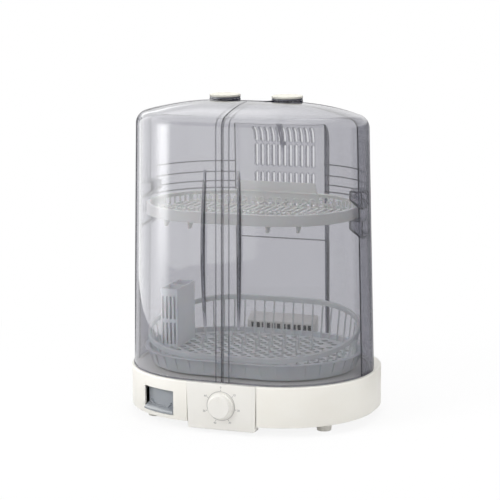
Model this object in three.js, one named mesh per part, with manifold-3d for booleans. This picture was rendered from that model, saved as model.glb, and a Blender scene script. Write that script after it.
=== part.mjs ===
// An electric dish dryer with a tall clear hood, in millimetres, +Z up.
// The origin is on the surface it stands on, under the middle of its outer box.
// The hood is a fixed rear cover and two curved doors that turn about upright pivots on the roof.
// Its plan is a straight front and back between two side arcs, whose centres are HALF_SPINE from the middle.
import * as THREE from 'three';
import { mergeVertices } from 'three/addons/utils/BufferGeometryUtils.js';
import Module from 'manifold-3d';

const wasm = await Module();
wasm.setup();

const DEG = Math.PI / 180;

// General
const GAP = 0.3; // between pieces that touch
const OVERRUN = 5; // how far a cut goes past the face that it cuts
const ARC_STEPS = 32; // facets round a full turn of the hood
const FINEST = 0.01; // the smallest detail that a join may leave

// Hood
const HALF_SPINE = 50.6; // from the middle to the centre of each side arc
const HOOD_R = 139.8; // outside of the doors at their bottom edge
const HOOD_DRAW_IN = 8.4; // how much nearer the wall is at the shoulder
const SHOULDER_R = 21; // rounding between wall and roof
const ROOF_TOP = 488; // above the middle, at the arcs' centre line
const DOME_RISE = 22.6;
const ROOF_PITCH = 0.048; // fall of the roof towards the back, as a slope
const WALL = 2.2;
const DOOR_CLEARANCE = 1.3; // between a door and the rear cover
const BASE_TOP = 77;
const DOOR_LIFT = 1.2; // the doors' bottom edge above the base
const PIVOT_Y = 15.8;
const COVER_FRONT_ANGLE = -12; // degrees behind the arc's centre, less than zero is in front of it
const DOOR_REAR_ANGLE = 8;
const BRIDGE_FRONT_Y = -22; // front edge of the cover's strip between the two caps
const BRIDGE_DEPTH = 82;
const SEAM_HALF_GAP = 0.8;
const SEAM_FLANGE_DEPTH = 5;
const SEAM_RIB_X = 9.5;
const SEAM_RIB_WIDTH = 1.6;
const SEAM_RIB_DEPTH = 1.4;

// Rear cover's centre panel, vents, ribs and rack brackets
const CENTRE_HALF = 77;
const CENTRE_Y = 149.5;
const CENTRE_DROP = 36; // the panel's top below the roof's
const CENTRE_TOP = ROOF_TOP - CENTRE_DROP;
const CENTRE_ROUND = 46;
const CENTRE_STEP_Z = 250;
const CENTRE_STEP = 1.5;
const VENT_COUNT = 11;
const VENT_PITCH = 9.6;
const VENT_WIDTH = 5.2;
const VENT_MIDDLE_X = 2;
const VENT_ROWS = [[150, 94], [84, 49], [45, 17]]; // bottom and top of each row, below the panel's top
const RIB_DROPS = [156, 145, 130, 112.5]; // below the roof's top
const RIB_WIDTH = 2.2;
const RIB_PROUD = 1.2;
const RIB_ANGLES = [30, 78];
const GUSSET_DROPS = [67, 4]; // bottom and top, below the panel's top
const GUSSET_WIDTH = 7;
const GUSSET_DEPTH = 16;
const BRACKET_DROPS = [174, 130]; // flat tops, below the roof's top
const BRACKET_LEVELS = BRACKET_DROPS.map((drop) => ROOF_TOP - drop);
const RACK_R = 117; // outside of the upper rack
const BRACKET_REACH = 6.5; // under the rack's edge
const BRACKET_R = RACK_R - BRACKET_REACH;
const BRACKET_LIP = 14;
const BRACKET_HEIGHT = 28;
const BRACKET_HALF_ANGLE = 9;
const BRACKET_WALL = 2;

// Door grips
const GRIP_RISE = 84; // its foot above the base
const GRIP_DROP = 90; // its top below the roof's
const GRIP_Z = [BASE_TOP + GRIP_RISE, ROOF_TOP - GRIP_DROP];
const GRIP_X = 26.5;
const GRIP_BOW = 2.2;
const GRIP_PROUD = 8;
const GRIP_WIDTH = 4.2;
const GRIP_FULLNESS = 0.8; // under 1 the fin swells sooner at its ends

// Pivot caps, collars and pins
const CAP_R = 23.9;
const CAP_RISE = 7; // above the roof's top
const CAP_TOP = ROOF_TOP + CAP_RISE;
const CAP_THICKNESS = 3.3;
const CAP_EDGE = 1;
const DOOR_BOSS_RISE = 0.6; // above the roof's top
const DOOR_BOSS_THICKNESS = 3;
const DOOR_BOSS_TOP = ROOF_TOP + DOOR_BOSS_RISE;
const DOOR_BOSS = [DOOR_BOSS_TOP - DOOR_BOSS_THICKNESS, DOOR_BOSS_TOP]; // flat disc round the pivot
const PIN_R = 5;
const CAP_SKIN = 1.6; // over the pin
const PIN_TOP = CAP_TOP - CAP_SKIN;
const PIN_FLANGE_R = 12;
const PIN_FLANGE = 3;

// Base
const BASE_R = 143.4;
const BASE_SIDE = 22; // straight side behind the front arcs
const BASE_CORNER_R = 134;
const BASE_BOTTOM = 15;
const BASE_WALL = 2.8;
const BASE_EDGE = 2;
const DECK = 3.2;
const LOCATING_RIB = 2.4;
const LOCATING_RIB_HEIGHT = 3.2;
const LOCATING_END_ANGLE = 80;
const COVER_PLATE = 2.5;
const BOSS_R = 5;
const BOSS_PLACES = [[-165, 12], [165, 12], [-122, 98], [122, 98]];
const SCREW_R = 2;
const SCREW_HEAD_R = 3.8;
const SCREW_HEAD = 2.3;
const SCREW_LENGTH = 24;
const FOOT_R = 12.5;
const FOOT_TAPER = 1.5;
const FOOT_STEM_R = 4;
const FOOT_STEM = 4;
const FOOT_PLACES = [[-138, -70], [138, -70], [-96, 118], [96, 118]];
const STIFFENER = 2;
const STIFFENER_DROP = 9;

// Control panel and timer
const PANEL_HALF_TOP = 55.5;
const PANEL_HALF_BOTTOM = 53.5;
const PANEL_BOTTOM = 6.5;
const PANEL_PROUD = 1.6; // in front of the base
const PANEL_Y = -BASE_R - PANEL_PROUD;
const PANEL_WALL = 3;
const PANEL_DEPTH = 17;
const PANEL_EDGE = 1;
const KNOB_Z = 43.7;
const KNOB_R = 20.5;
const KNOB_NECK_R = 18.6;
const KNOB_HEIGHT = 11;
const KNOB_RIM = 3.4;
const KNOB_BORE = 7.9;
const SHAFT_R = 3;
const SHAFT_LENGTH = 20;
const TIMER_HALF = [24, 21];
const TIMER_DEPTH = 30;
const TIMER_BUSH_R = 6.5;
const POINTER = [1.6, 10, 0.8];

// Drain tank, whose bay points out along the front left arc
const TANK_ANGLE = 24;
const TANK_HALF = 30;
const TANK_BOTTOM = 22.5;
const TANK_TOP = 57.5;
const TANK_INNER_R = 62;
const TANK_SETBACK = 8.4; // behind the base's front
const TANK_FRONT_R = BASE_R - TANK_SETBACK;
const TANK_WALL = 2;
const TANK_LIP = 2.4;
const TANK_CLEARANCE = 1.4;
const TANK_RAIL = 3;
const TANK_RAIL_X = 20;
const DRAIN_R = 95; // the drain hole's distance from the arc's centre, along the tank
const FUNNEL_R = 8.6;
const FUNNEL_WALL = 2.4;
const FUNNEL_FLANGE_R = 11.5;
const FUNNEL_BOTTOM = 60.5;

// Drip tray
const TRAY_FLOOR_R = 112;
const TRAY_RIM_R = 118;
const TRAY_FLANGE_R = 123;
const TRAY_BOTTOM = 80;
const TRAY_TOP = 106;
const TRAY_WALL = 2;
const TRAY_RIBS = 12;
const TRAY_RIB_WIDTH = 1.6;
const TRAY_FOOT = 4;
const TRAY_FEET = [[-120, -40], [120, -40], [-120, 55], [120, 55]];
const SPOUT_R = 5.2;
const SPOUT_BORE_R = 3.4;
const SPOUT_BOTTOM = 69;

// Lower basket
const BASKET_FLOOR_R = 110;
const BASKET_FLOOR_Z = 95;
const BASKET_FLOOR = 3;
const BASKET_RIM_R = 117.5;
const BASKET_RIM_WIDTH = 4.5;
const BASKET_RIM_HEIGHT = 6.4;
const BASKET_RIM_Z = 136.5; // top of the rim at the arcs' centre line
const BASKET_SLOPE = 0.2; // rise of the rim towards the back
const BASKET_BARS = 26;
const BAR = 2.6;
const DIAMOND_PITCH = 44;
const DIAMOND = 37;
const BASKET_LEG_R = 4;
const BASKET_LEGS = [[-99, -54], [99, -54], [-99, 54], [99, 54]];
const TINE = 2.8;
const TINE_HEIGHT = 26;
const TINES_PER_ROW = 5;

// Upper rack
const RACK_RIM_WIDTH = 3;
const RACK_RIM_HEIGHT = 17;
const RACK_FLOOR = 3;
const RACK_SLOT = 16;
const RACK_SLOT_PITCH = 23;
const RACK_PLATE_HALF = [72, 62];
const RACK_PLATE_RISE = 33; // its top above the brackets
const RACK_PLATE = 2.4;
const RACK_TINE_HEIGHT = 13;
const RACK_TINE_COUNT = 16;
const RACK_GUSSETS = [-105, -62, 62, 105];
const RACK_GUSSET_DROP = 10.5;
const RACK_GUSSET_LENGTH = 22;

// Cutlery holder
const HOLDER_X = [-145.5, -116.5];
const HOLDER_Y = [-28, 48];
const HOLDER_TOP = 192;
const HOLDER_WALL = 1.8;
const HOLDER_SLOT = 3;
const HOLDER_SLOT_PITCH = 6.5;
const HOLDER_SLOT_ROWS = [[104, 138], [144, 180]];

// Hot air outlet
const OUTLET_HALF = 58;
const OUTLET_Y = [127.5, 145.8];
const OUTLET_FRONT_TOP = 117;
const OUTLET_TOP = 128;
const OUTLET_WALL = 2;
const OUTLET_SLOT = [4.8, 8.5];
const OUTLET_SLOT_ROWS = [93, 105];
const OUTLET_PAIRS = 6;
const OUTLET_PAIR_PITCH = 17.6;
const OUTLET_SLOT_PITCH = 7.4;

// Blower, duct and heater under the deck
const BLOWER = { x: -28, y: 45 };
const SCROLL_START_R = 47;
const SCROLL_END_R = 70;
const SCROLL_START_ANGLE = 60;
const SCROLL_Z = [22, 54];
const SCROLL_WALL = 2;
const INLET_R = 33;
const DUCT_HALF = 57;
const DUCT_Y = [112, 149];
const DUCT_Z = [20, 73.5];
const MOUTH_HALF = 54;
const MOUTH_Y = [131, 143.5];
const WHEEL_R = 41;
const WHEEL_INNER_R = 31;
const WHEEL_Z = [27, 49];
const WHEEL_PLATE = 1.6;
const WHEEL_HUB_R = 8;
const BLADES = 12;
const BLADE_THICKNESS = 1.2;
const WHEEL_STEPS = 20; // facets round the wheel
const BLADE_ARC = 70 * DEG;
const MOTOR_R = 25; // of its flange
const MOTOR_CAN_R = 21;
const MOTOR_TOP_R = 19;
const MOTOR_HEIGHT = 16;
const MOTOR_SHAFT_R = 2.5;
const HEATER_Z = [44, 60];
const HEATER_BOARD = 1.6;
const HEATER_RUNS = 12;
const HEATER_WIRE = 1.4;
const CUTOUT_R = 7;
const CUTOUT_HEIGHT = 7;
const FILTER_R = 37;
const FILTER_Z = [18.2, 21.4];
const INTAKE_SLOTS = 7;
const INTAKE_SLOT = 4;
const INTAKE_PITCH = 6.8;
const GLAND_R = 6;
const GLAND_FLANGE_R = 9;
const GLAND_PROUD = 3;
const GLAND_LENGTH = 14;
const GLAND_PLACE = { x: -78, z: 36 };

// Sizes that follow from the ones above
const BASE_HALF = HALF_SPINE + BASE_R;
const CORNER_X = BASE_HALF - BASE_CORNER_R;
const BASE_REAR = BASE_SIDE + BASE_CORNER_R;
const KNOB_FRONT = PANEL_Y - GAP - KNOB_HEIGHT;
const GLAND_Y = BASE_SIDE + Math.sqrt(BASE_CORNER_R ** 2 - (Math.abs(GLAND_PLACE.x) - CORNER_X) ** 2);
const MIDDLE_Y = (KNOB_FRONT + GLAND_Y + GLAND_PROUD) / 2;
const COVER_INSET = WALL + DOOR_CLEARANCE;
const COVER_BOTTOM = BASE_TOP + GAP;
const DOOR_BOTTOM = BASE_TOP + DOOR_LIFT;
const SHOULDER = HOOD_R - HOOD_DRAW_IN;
const DOME_R = (SHOULDER ** 2 + DOME_RISE ** 2) / (2 * DOME_RISE);
const DOME_Z = ROOF_TOP - DOME_R;
const FILLET_X = SHOULDER - SHOULDER_R;
const FILLET_Z = DOME_Z + Math.sqrt((DOME_R - SHOULDER_R) ** 2 - FILLET_X ** 2);
const ABOVE = CAP_TOP + OVERRUN;
const WIDE = BASE_HALF + OVERRUN;

// Materials
const plastic = (color, roughness, more = {}) =>
  new THREE.MeshStandardMaterial({ color, roughness, metalness: 0, flatShading: true, ...more });
const IVORY = plastic(0xece9df, 0.42);
const SMOKE = plastic(0x8c8d97, 0.12, { transparent: true, opacity: 0.42 });
const SMOKE_DARK = plastic(0x54555f, 0.2, { transparent: true, opacity: 0.8 });
const RACK_GREY = plastic(0xc2c5be, 0.5);
const HOLDER_GREY = plastic(0xa9afae, 0.5);
const TRAY_CLEAR = plastic(0xdfe2e0, 0.35, { transparent: true, opacity: 0.7 });
const TANK_SMOKE = plastic(0x5d6873, 0.25, { transparent: true, opacity: 0.85 });
const RUBBER = plastic(0x8a867c, 0.85);
const BLACK = plastic(0x2a2a2a, 0.5);
const MICA = plastic(0xb9a97f, 0.7);
const STEEL = plastic(0xb8bcc0, 0.35, { metalness: 1 });
const FILTER = plastic(0x3c3f42, 0.9);

// A closed geometry as a solid. A shape that comes inside out is turned round.
function solid(geometry) {
  const bare = geometry.clone();
  bare.deleteAttribute('normal');
  bare.deleteAttribute('uv');
  const merged = mergeVertices(bare, 1e-4);
  const index = merged.index.array;
  const kept = [];
  for (let i = 0; i < index.length; i += 3) {
    const [a, b, c] = [index[i], index[i + 1], index[i + 2]];
    if (a !== b && b !== c && c !== a) kept.push(a, b, c);
  }
  const vertProperties = merged.attributes.position.array;
  const make = (triVerts) => new wasm.Manifold(new wasm.Mesh({ numProp: 3, vertProperties, triVerts }));
  const made = make(new Uint32Array(kept));
  if (made.volume() >= 0) return made;
  return make(new Uint32Array(kept.reverse()));
}

const join = (...solids) => solids.flat().reduce((all, one) => all.add(one));
const cut = (body, ...tools) => tools.flat().reduce((left, tool) => left.subtract(tool), body);

// A solid as a geometry to draw
function geometryOf(body) {
  const { vertProperties, triVerts } = body.asOriginal().simplify(FINEST).getMesh();
  const geometry = new THREE.BufferGeometry();
  geometry.setAttribute('position', new THREE.BufferAttribute(vertProperties, 3));
  geometry.setIndex(new THREE.BufferAttribute(triVerts, 1));
  geometry.computeVertexNormals();
  return geometry;
}

// Basic shapes. A box is given by its limits, a rod by its radius, place and limits.
function block(x, y, z) {
  const geometry = new THREE.BoxGeometry(x[1] - x[0], y[1] - y[0], z[1] - z[0]);
  return geometry.translate((x[0] + x[1]) / 2, (y[0] + y[1]) / 2, (z[0] + z[1]) / 2);
}

function rod(radius, x, y, z, steps = 16) {
  const geometry = new THREE.CylinderGeometry(radius, radius, z[1] - z[0], steps);
  return geometry.rotateX(90 * DEG).translate(x, y, (z[0] + z[1]) / 2);
}

// A rod along Y
function rodY(radius, x, y, z, steps = 16) {
  const geometry = new THREE.CylinderGeometry(radius, radius, y[1] - y[0], steps);
  return geometry.translate(x, (y[0] + y[1]) / 2, z);
}

function shapeOf(points) {
  return new THREE.Shape(points.map(([x, y]) => new THREE.Vector2(x, y)));
}

// An outline in plan, raised from one height to another
function prism(shape, z, options = {}) {
  const geometry = new THREE.ExtrudeGeometry(shape, {
    depth: z[1] - z[0],
    bevelEnabled: false,
    curveSegments: ARC_STEPS / 8, // an arc gets two facets for each of these
    ...options,
  });
  return geometry.translate(0, 0, z[0]);
}

// An outline of (y, z) points, drawn out along X
function drawnAlongX(shape, x, curveSegments = 3) {
  const options = { depth: x[1] - x[0], bevelEnabled: false, curveSegments };
  const geometry = new THREE.ExtrudeGeometry(shape, options);
  const turn = new THREE.Matrix4().makeBasis(
    new THREE.Vector3(0, 1, 0),
    new THREE.Vector3(0, 0, 1),
    new THREE.Vector3(1, 0, 0),
  );
  return geometry.applyMatrix4(turn).translate(x[0], 0, 0);
}

// An outline of (x, z) points, drawn out along Y from y[0] to y[1]
function drawnAlongY(shape, y, options = {}) {
  const geometry = new THREE.ExtrudeGeometry(shape, { depth: y[1] - y[0], bevelEnabled: false, ...options });
  return geometry.rotateX(90 * DEG).translate(0, y[1], 0);
}

// (radius, z) points turned about the Z axis
function turned(points, steps = ARC_STEPS) {
  return new THREE.LatheGeometry(points.map(([r, z]) => new THREE.Vector2(r, z)), steps).rotateX(90 * DEG);
}

// A straight bar of square section from one point to another
function bar(from, to, width) {
  const a = new THREE.Vector3(...from);
  const b = new THREE.Vector3(...to);
  const geometry = new THREE.BoxGeometry(width, width, a.distanceTo(b));
  const turn = new THREE.Quaternion().setFromUnitVectors(
    new THREE.Vector3(0, 0, 1),
    b.clone().sub(a).normalize(),
  );
  const middle = a.add(b).multiplyScalar(0.5);
  return geometry.applyQuaternion(turn).translate(middle.x, middle.y, middle.z);
}

// Heights that rise or fall towards the back by a slope
function pitched(geometry, slope) {
  const shear = new THREE.Matrix4().set(1, 0, 0, 0, 0, 1, 0, 0, 0, slope, 1, 0, 0, 0, 0, 1);
  return geometry.applyMatrix4(shear);
}

// The long round plan of the hood, racks and tray: a (radius, z) profile from axis to axis, turned
// about both side arcs' centres and drawn straight between them.
function oval(profile, slope = 0) {
  const end = (x) => solid(pitched(turned(profile).translate(x, 0, 0), slope));
  const ends = [end(-HALF_SPINE), end(HALF_SPINE)];
  const strip = shapeOf([...profile, ...profile.slice(1, -1).reverse().map(([r, z]) => [-r, z])]);
  return join(ends, solid(pitched(drawnAlongX(strip, [-HALF_SPINE, HALF_SPINE]), slope)));
}

// The same with the middle left out, from an inner radius to an outer one
function ovalRing(inner, outer, z, slope = 0) {
  const disc = (radius, [low, high]) => oval([[0, low], [radius, low], [radius, high], [0, high]], slope);
  return disc(outer, z).subtract(disc(inner, [z[0] - OVERRUN, z[1] + OVERRUN]));
}

// The outline of that plan at one radius
function ovalShape(radius) {
  const shape = new THREE.Shape();
  shape.moveTo(-HALF_SPINE, -radius);
  shape.lineTo(HALF_SPINE, -radius);
  shape.absarc(HALF_SPINE, 0, radius, -90 * DEG, 90 * DEG, false);
  shape.lineTo(-HALF_SPINE, radius);
  shape.absarc(-HALF_SPINE, 0, radius, 90 * DEG, 270 * DEG, false);
  return shape;
}

// A place and its outward direction, so far along the oval of one radius
function alongOval(radius, share) {
  const straight = 2 * HALF_SPINE;
  const round = Math.PI * radius;
  const facing = (x, a) => {
    const [nx, ny] = [Math.cos(a), Math.sin(a)];
    return { x: x + radius * nx, y: radius * ny, nx, ny };
  };
  let s = share * 2 * (straight + round);
  if (s < straight) return facing(s - HALF_SPINE, -90 * DEG);
  s -= straight;
  if (s < round) return facing(HALF_SPINE, s / radius - 90 * DEG);
  s -= round;
  if (s < straight) return facing(HALF_SPINE - s, 90 * DEG);
  s -= straight;
  return facing(-HALF_SPINE, s / radius + 90 * DEG);
}

// The doors' outer wall line
const hoodRadius = (z) => HOOD_R - (HOOD_DRAW_IN * (z - DOOR_BOTTOM)) / (FILLET_Z - DOOR_BOTTOM);

// The hood as a full solid, so far inside the doors' outer face
function hoodSolid(inset) {
  const FILLET_STEPS = 4;
  const DOME_STEPS = 3;
  const slant = Math.atan2(FILLET_Z - DOME_Z, FILLET_X);
  const points = [[0, 0], [hoodRadius(0) - inset, 0]];
  const r = SHOULDER_R - inset;
  for (let i = 0; i <= FILLET_STEPS; i++) {
    const a = (slant * i) / FILLET_STEPS;
    points.push([FILLET_X + r * Math.cos(a), FILLET_Z + r * Math.sin(a)]);
  }
  for (let i = 1; i < DOME_STEPS; i++) {
    const a = slant + ((90 * DEG - slant) * i) / DOME_STEPS;
    points.push([(DOME_R - inset) * Math.cos(a), DOME_Z + (DOME_R - inset) * Math.sin(a)]);
  }
  points.push([0, ROOF_TOP - inset]);
  return oval(points, -ROOF_PITCH);
}

const hoodLayers = new Map();
function hood(inset) {
  if (!hoodLayers.has(inset)) hoodLayers.set(inset, hoodSolid(inset));
  return hoodLayers.get(inset);
}

// Round a pivot pin, through the roof
const pinHole = (side) => solid(rod(PIN_R + GAP, side * HALF_SPINE, PIVOT_Y, [BASE_TOP, ABOVE]));

// Rear cover
function centreProfile(inset) {
  const y = CENTRE_Y - inset;
  const top = CENTRE_TOP - inset;
  const round = CENTRE_ROUND - inset;
  const shape = new THREE.Shape();
  shape.moveTo(0, 0);
  shape.lineTo(y, 0);
  shape.lineTo(y, CENTRE_STEP_Z);
  shape.lineTo(y - CENTRE_STEP, CENTRE_STEP_Z + CENTRE_STEP);
  shape.lineTo(y - CENTRE_STEP, top - round);
  shape.absarc(y - CENTRE_STEP - round, top - round, round, 0, 90 * DEG, false);
  shape.lineTo(0, top);
  return shape;
}

function coverPlan() {
  const slope = Math.tan(COVER_FRONT_ANGLE * DEG);
  const side = [HALF_SPINE + WIDE, WIDE * slope];
  return shapeOf([
    [-HALF_SPINE - PIN_R, BRIDGE_FRONT_Y],
    [HALF_SPINE + PIN_R, BRIDGE_FRONT_Y],
    [HALF_SPINE + CAP_R, CAP_R * slope],
    side,
    [side[0], WIDE],
    [-side[0], WIDE],
    [-side[0], side[1]],
    [-HALF_SPINE - CAP_R, CAP_R * slope],
  ]);
}

// A slot through the centre panel, its limits given below the panel's top
function ventSlot(x, drop) {
  return block([x - VENT_WIDTH / 2, x + VENT_WIDTH / 2], [CENTRE_Y - 3 * OVERRUN, CENTRE_Y + OVERRUN],
    [CENTRE_TOP - drop[0], CENTRE_TOP - drop[1]]);
}

// An upright wedge about the centre of the right or left side arc
function sector(side, from, to, z) {
  const a = side > 0 ? [from, to] : [180 - to, 180 - from];
  const points = [[0, 0]];
  for (let i = 0; i <= 2; i++) {
    const angle = (a[0] + ((a[1] - a[0]) * i) / 2) * DEG;
    points.push([WIDE * Math.cos(angle), WIDE * Math.sin(angle)]);
  }
  return solid(prism(shapeOf(points), z).translate(side * HALF_SPINE, 0, 0));
}

function rackBracket(side, top) {
  const wallR = (z, more) => hoodRadius(z) - COVER_INSET - more;
  const foot = top - BRACKET_HEIGHT;
  const outer = [
    [BRACKET_R, top],
    [BRACKET_R, top - BRACKET_LIP],
    [wallR(foot, WALL / 2), foot],
    [wallR(top, WALL / 2), top],
  ];
  const inner = [
    [BRACKET_R + BRACKET_WALL, top - BRACKET_WALL],
    [BRACKET_R + BRACKET_WALL, top - BRACKET_LIP + BRACKET_WALL / 2],
    [wallR(foot, 0), foot + 2 * BRACKET_WALL],
    [wallR(foot, 0) + OVERRUN, foot + 2 * BRACKET_WALL],
    [wallR(top, 0) + OVERRUN, top - BRACKET_WALL],
  ];
  const ring = (points) => solid(turned([...points, points[0]]).translate(side * HALF_SPINE, 0, 0));
  const thick = BRACKET_WALL / BRACKET_R / DEG;
  return {
    body: ring(outer).intersect(sector(side, -BRACKET_HALF_ANGLE, BRACKET_HALF_ANGLE, [0, ABOVE])),
    hollow: ring(inner).intersect(
      sector(side, -BRACKET_HALF_ANGLE + thick, BRACKET_HALF_ANGLE - thick, [0, ABOVE])),
  };
}

function rearCover() {
  const outer = hood(COVER_INSET).add(solid(drawnAlongX(centreProfile(0), [-CENTRE_HALF, CENTRE_HALF])));
  const half = CENTRE_HALF - WALL;
  const inner = hood(COVER_INSET + WALL).add(solid(drawnAlongX(centreProfile(WALL), [-half, half])));
  const plan = join(
    solid(prism(coverPlan(), [COVER_BOTTOM, ABOVE])),
    [-1, 1].map((side) => solid(rod(CAP_R, side * HALF_SPINE, PIVOT_Y, [COVER_BOTTOM, ABOVE]))),
  );
  let cover = outer.subtract(inner);
  // The strip between the caps is raised flush with the doors.
  const stripHalf = HALF_SPINE - CAP_R - DOOR_CLEARANCE;
  const stripY = [BRIDGE_FRONT_Y, BRIDGE_FRONT_Y + BRIDGE_DEPTH];
  const strip = solid(block([-stripHalf, stripHalf], stripY, [0, ABOVE]));
  cover = cover.add(hood(GAP).subtract(hood(COVER_INSET + WALL)).intersect(strip));
  cover = cover.intersect(plan);
  const ribs = [-1, 1].flatMap((side) => RIB_DROPS.map((drop) => {
    const z = ROOF_TOP - drop;
    const r = hoodRadius(z) - COVER_INSET;
    const [near, far] = [r - WALL / 2, r + RIB_PROUD];
    const ring = [[near, z], [far, z + RIB_WIDTH / 2], [near, z + RIB_WIDTH]];
    const whole = solid(turned([...ring, ring[0]]).translate(side * HALF_SPINE, 0, 0));
    return whole.intersect(sector(side, RIB_ANGLES[0], RIB_ANGLES[1], [0, ABOVE]));
  }));
  const brackets = [-1, 1].flatMap((side) => BRACKET_LEVELS.map((top) => rackBracket(side, top)));
  const gussetY = CENTRE_Y - CENTRE_STEP - WALL / 2;
  const gussetZ = GUSSET_DROPS.map((drop) => CENTRE_TOP - drop);
  const gussetShape = shapeOf([
    [gussetY, gussetZ[0]],
    [gussetY, gussetZ[1] - CENTRE_ROUND],
    [gussetY - CENTRE_ROUND / 2, gussetZ[1]],
    [gussetY - CENTRE_ROUND / 2 - GUSSET_DEPTH / 2, gussetZ[1]],
    [gussetY - GUSSET_DEPTH / 2, gussetZ[1] - CENTRE_ROUND],
  ]);
  const gusset = solid(drawnAlongX(gussetShape, [-GUSSET_WIDTH / 2, GUSSET_WIDTH / 2])).intersect(outer);
  const ventX = (i) => VENT_MIDDLE_X + (i - (VENT_COUNT - 1) / 2) * VENT_PITCH;
  const vents = VENT_ROWS.flatMap((drop) =>
    Array.from({ length: VENT_COUNT }, (_, i) => solid(ventSlot(ventX(i), drop))));
  const pinHoles = [-1, 1].map(pinHole);
  cover = join(cover, ribs, brackets.map((b) => b.body), gusset);
  return cut(cover, brackets.map((b) => b.hollow), vents, pinHoles);
}

// Doors, side -1 for the left one and 1 for the right one
function doorPlan(side) {
  const a = DOOR_REAR_ANGLE * DEG;
  const slope = (HOOD_R * Math.sin(a) - PIVOT_Y) / (HOOD_R * Math.cos(a));
  const points = [
    [SEAM_HALF_GAP, -WIDE],
    [SEAM_HALF_GAP, BRIDGE_FRONT_Y - SEAM_HALF_GAP],
    [HALF_SPINE, BRIDGE_FRONT_Y - SEAM_HALF_GAP],
    [HALF_SPINE, PIVOT_Y],
    [WIDE, PIVOT_Y + slope * (WIDE - HALF_SPINE)],
    [WIDE, -WIDE],
  ];
  return shapeOf(points.map(([x, y]) => [side * x, y]));
}

// The long finger grip: a fin that swells out of the front wall and dies into it at both ends
function doorGrip(side) {
  const STEPS = 12;
  const surface = (z) => -hoodRadius(z);
  const at = (i) => GRIP_Z[0] + ((GRIP_Z[1] - GRIP_Z[0]) * i) / STEPS;
  const swell = (i) => GRIP_PROUD * Math.sin((Math.PI * i) / STEPS) ** GRIP_FULLNESS;
  const crest = Array.from({ length: STEPS + 1 }, (_, i) => [surface(at(i)) - swell(i), at(i)]);
  const back = crest.map(([, z]) => [surface(z) + WALL / 2, z]).reverse();
  const fin = drawnAlongX(shapeOf([...crest, ...back]), [-GRIP_WIDTH / 2, GRIP_WIDTH / 2]);
  const position = fin.attributes.position;
  for (let i = 0; i < position.count; i++) {
    const share = (2 * (position.getZ(i) - GRIP_Z[0])) / (GRIP_Z[1] - GRIP_Z[0]) - 1;
    position.setX(i, position.getX(i) + side * (GRIP_X + GRIP_BOW * (1 - share ** 2)));
  }
  return solid(fin);
}

function door(side) {
  const plan = solid(prism(doorPlan(side), [DOOR_BOTTOM, ABOVE]));
  const boss = solid(rod(CAP_R, side * HALF_SPINE, PIVOT_Y, DOOR_BOSS, 24));
  const shell = hood(0).subtract(hood(WALL));
  const between = (a, b) => solid(block(side > 0 ? [a, b] : [-b, -a],
    [-WIDE, BRIDGE_FRONT_Y - SEAM_HALF_GAP], [DOOR_BOTTOM, ABOVE]));
  const flange = hood(0).subtract(hood(SEAM_FLANGE_DEPTH))
    .intersect(between(SEAM_HALF_GAP, SEAM_HALF_GAP + WALL));
  const ribInset = WALL - SEAM_RIB_DEPTH / 4;
  const rib = hood(ribInset).subtract(hood(WALL + SEAM_RIB_DEPTH)).intersect(
    between(SEAM_RIB_X, SEAM_RIB_X + SEAM_RIB_WIDTH));
  return cut(join(shell.intersect(plan), boss, flange, rib, doorGrip(side)), pinHole(side));
}

// The dark ring between a door's boss and the cap above it
function pivotCollar(side) {
  const z = [DOOR_BOSS[1] + GAP, CAP_TOP - CAP_THICKNESS - GAP];
  const ring = solid(rod(CAP_R - CAP_EDGE / 2, side * HALF_SPINE, PIVOT_Y, z, 24));
  return ring.subtract(pinHole(side));
}

function pivotCap(side) {
  const bottom = CAP_TOP - CAP_THICKNESS;
  const socketTop = PIN_TOP + GAP;
  const profile = [
    [0, socketTop], [PIN_R + GAP, socketTop], [PIN_R + GAP, bottom], [CAP_R, bottom],
    [CAP_R, CAP_TOP - CAP_EDGE], [CAP_R - CAP_EDGE, CAP_TOP], [0, CAP_TOP],
  ];
  return solid(turned(profile, 24).translate(side * HALF_SPINE, PIVOT_Y, 0));
}

function pivotPin(side) {
  const under = hood(COVER_INSET + WALL + GAP);
  const roofAtPivot = ROOF_TOP - COVER_INSET - WALL - ROOF_PITCH * (PIVOT_Y + PIN_FLANGE_R);
  const flange = solid(rod(PIN_FLANGE_R, side * HALF_SPINE, PIVOT_Y, [roofAtPivot - PIN_FLANGE, ROOF_TOP]));
  const stem = solid(rod(PIN_R, side * HALF_SPINE, PIVOT_Y, [roofAtPivot - PIN_FLANGE, PIN_TOP]));
  return flange.intersect(under).add(stem);
}

// Base
function baseShape(inset) {
  const r = BASE_R - inset;
  const corner = BASE_CORNER_R - inset;
  const shape = new THREE.Shape();
  shape.moveTo(-HALF_SPINE, -r);
  shape.lineTo(HALF_SPINE, -r);
  shape.absarc(HALF_SPINE, 0, r, -90 * DEG, 0, false);
  shape.lineTo(BASE_HALF - inset, BASE_SIDE);
  shape.absarc(CORNER_X, BASE_SIDE, corner, 0, 90 * DEG, false);
  shape.lineTo(-CORNER_X, BASE_REAR - inset);
  shape.absarc(-CORNER_X, BASE_SIDE, corner, 90 * DEG, 180 * DEG, false);
  shape.lineTo(-BASE_HALF + inset, 0);
  shape.absarc(-HALF_SPINE, 0, r, 180 * DEG, 270 * DEG, false);
  return shape;
}

// Places in the drain tank's bay are given along and across the way that it slides.
function inBay(geometry) {
  return geometry.rotateZ(-TANK_ANGLE * DEG).translate(-HALF_SPINE, 0, 0);
}
const DRAIN = {
  x: -HALF_SPINE - DRAIN_R * Math.sin(TANK_ANGLE * DEG),
  y: -DRAIN_R * Math.cos(TANK_ANGLE * DEG),
};

const panelNotch = (clearance, z) => solid(block(
  [-PANEL_HALF_TOP - clearance, PANEL_HALF_TOP + clearance],
  [-WIDE, PANEL_Y + PANEL_DEPTH + clearance], z));

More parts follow.
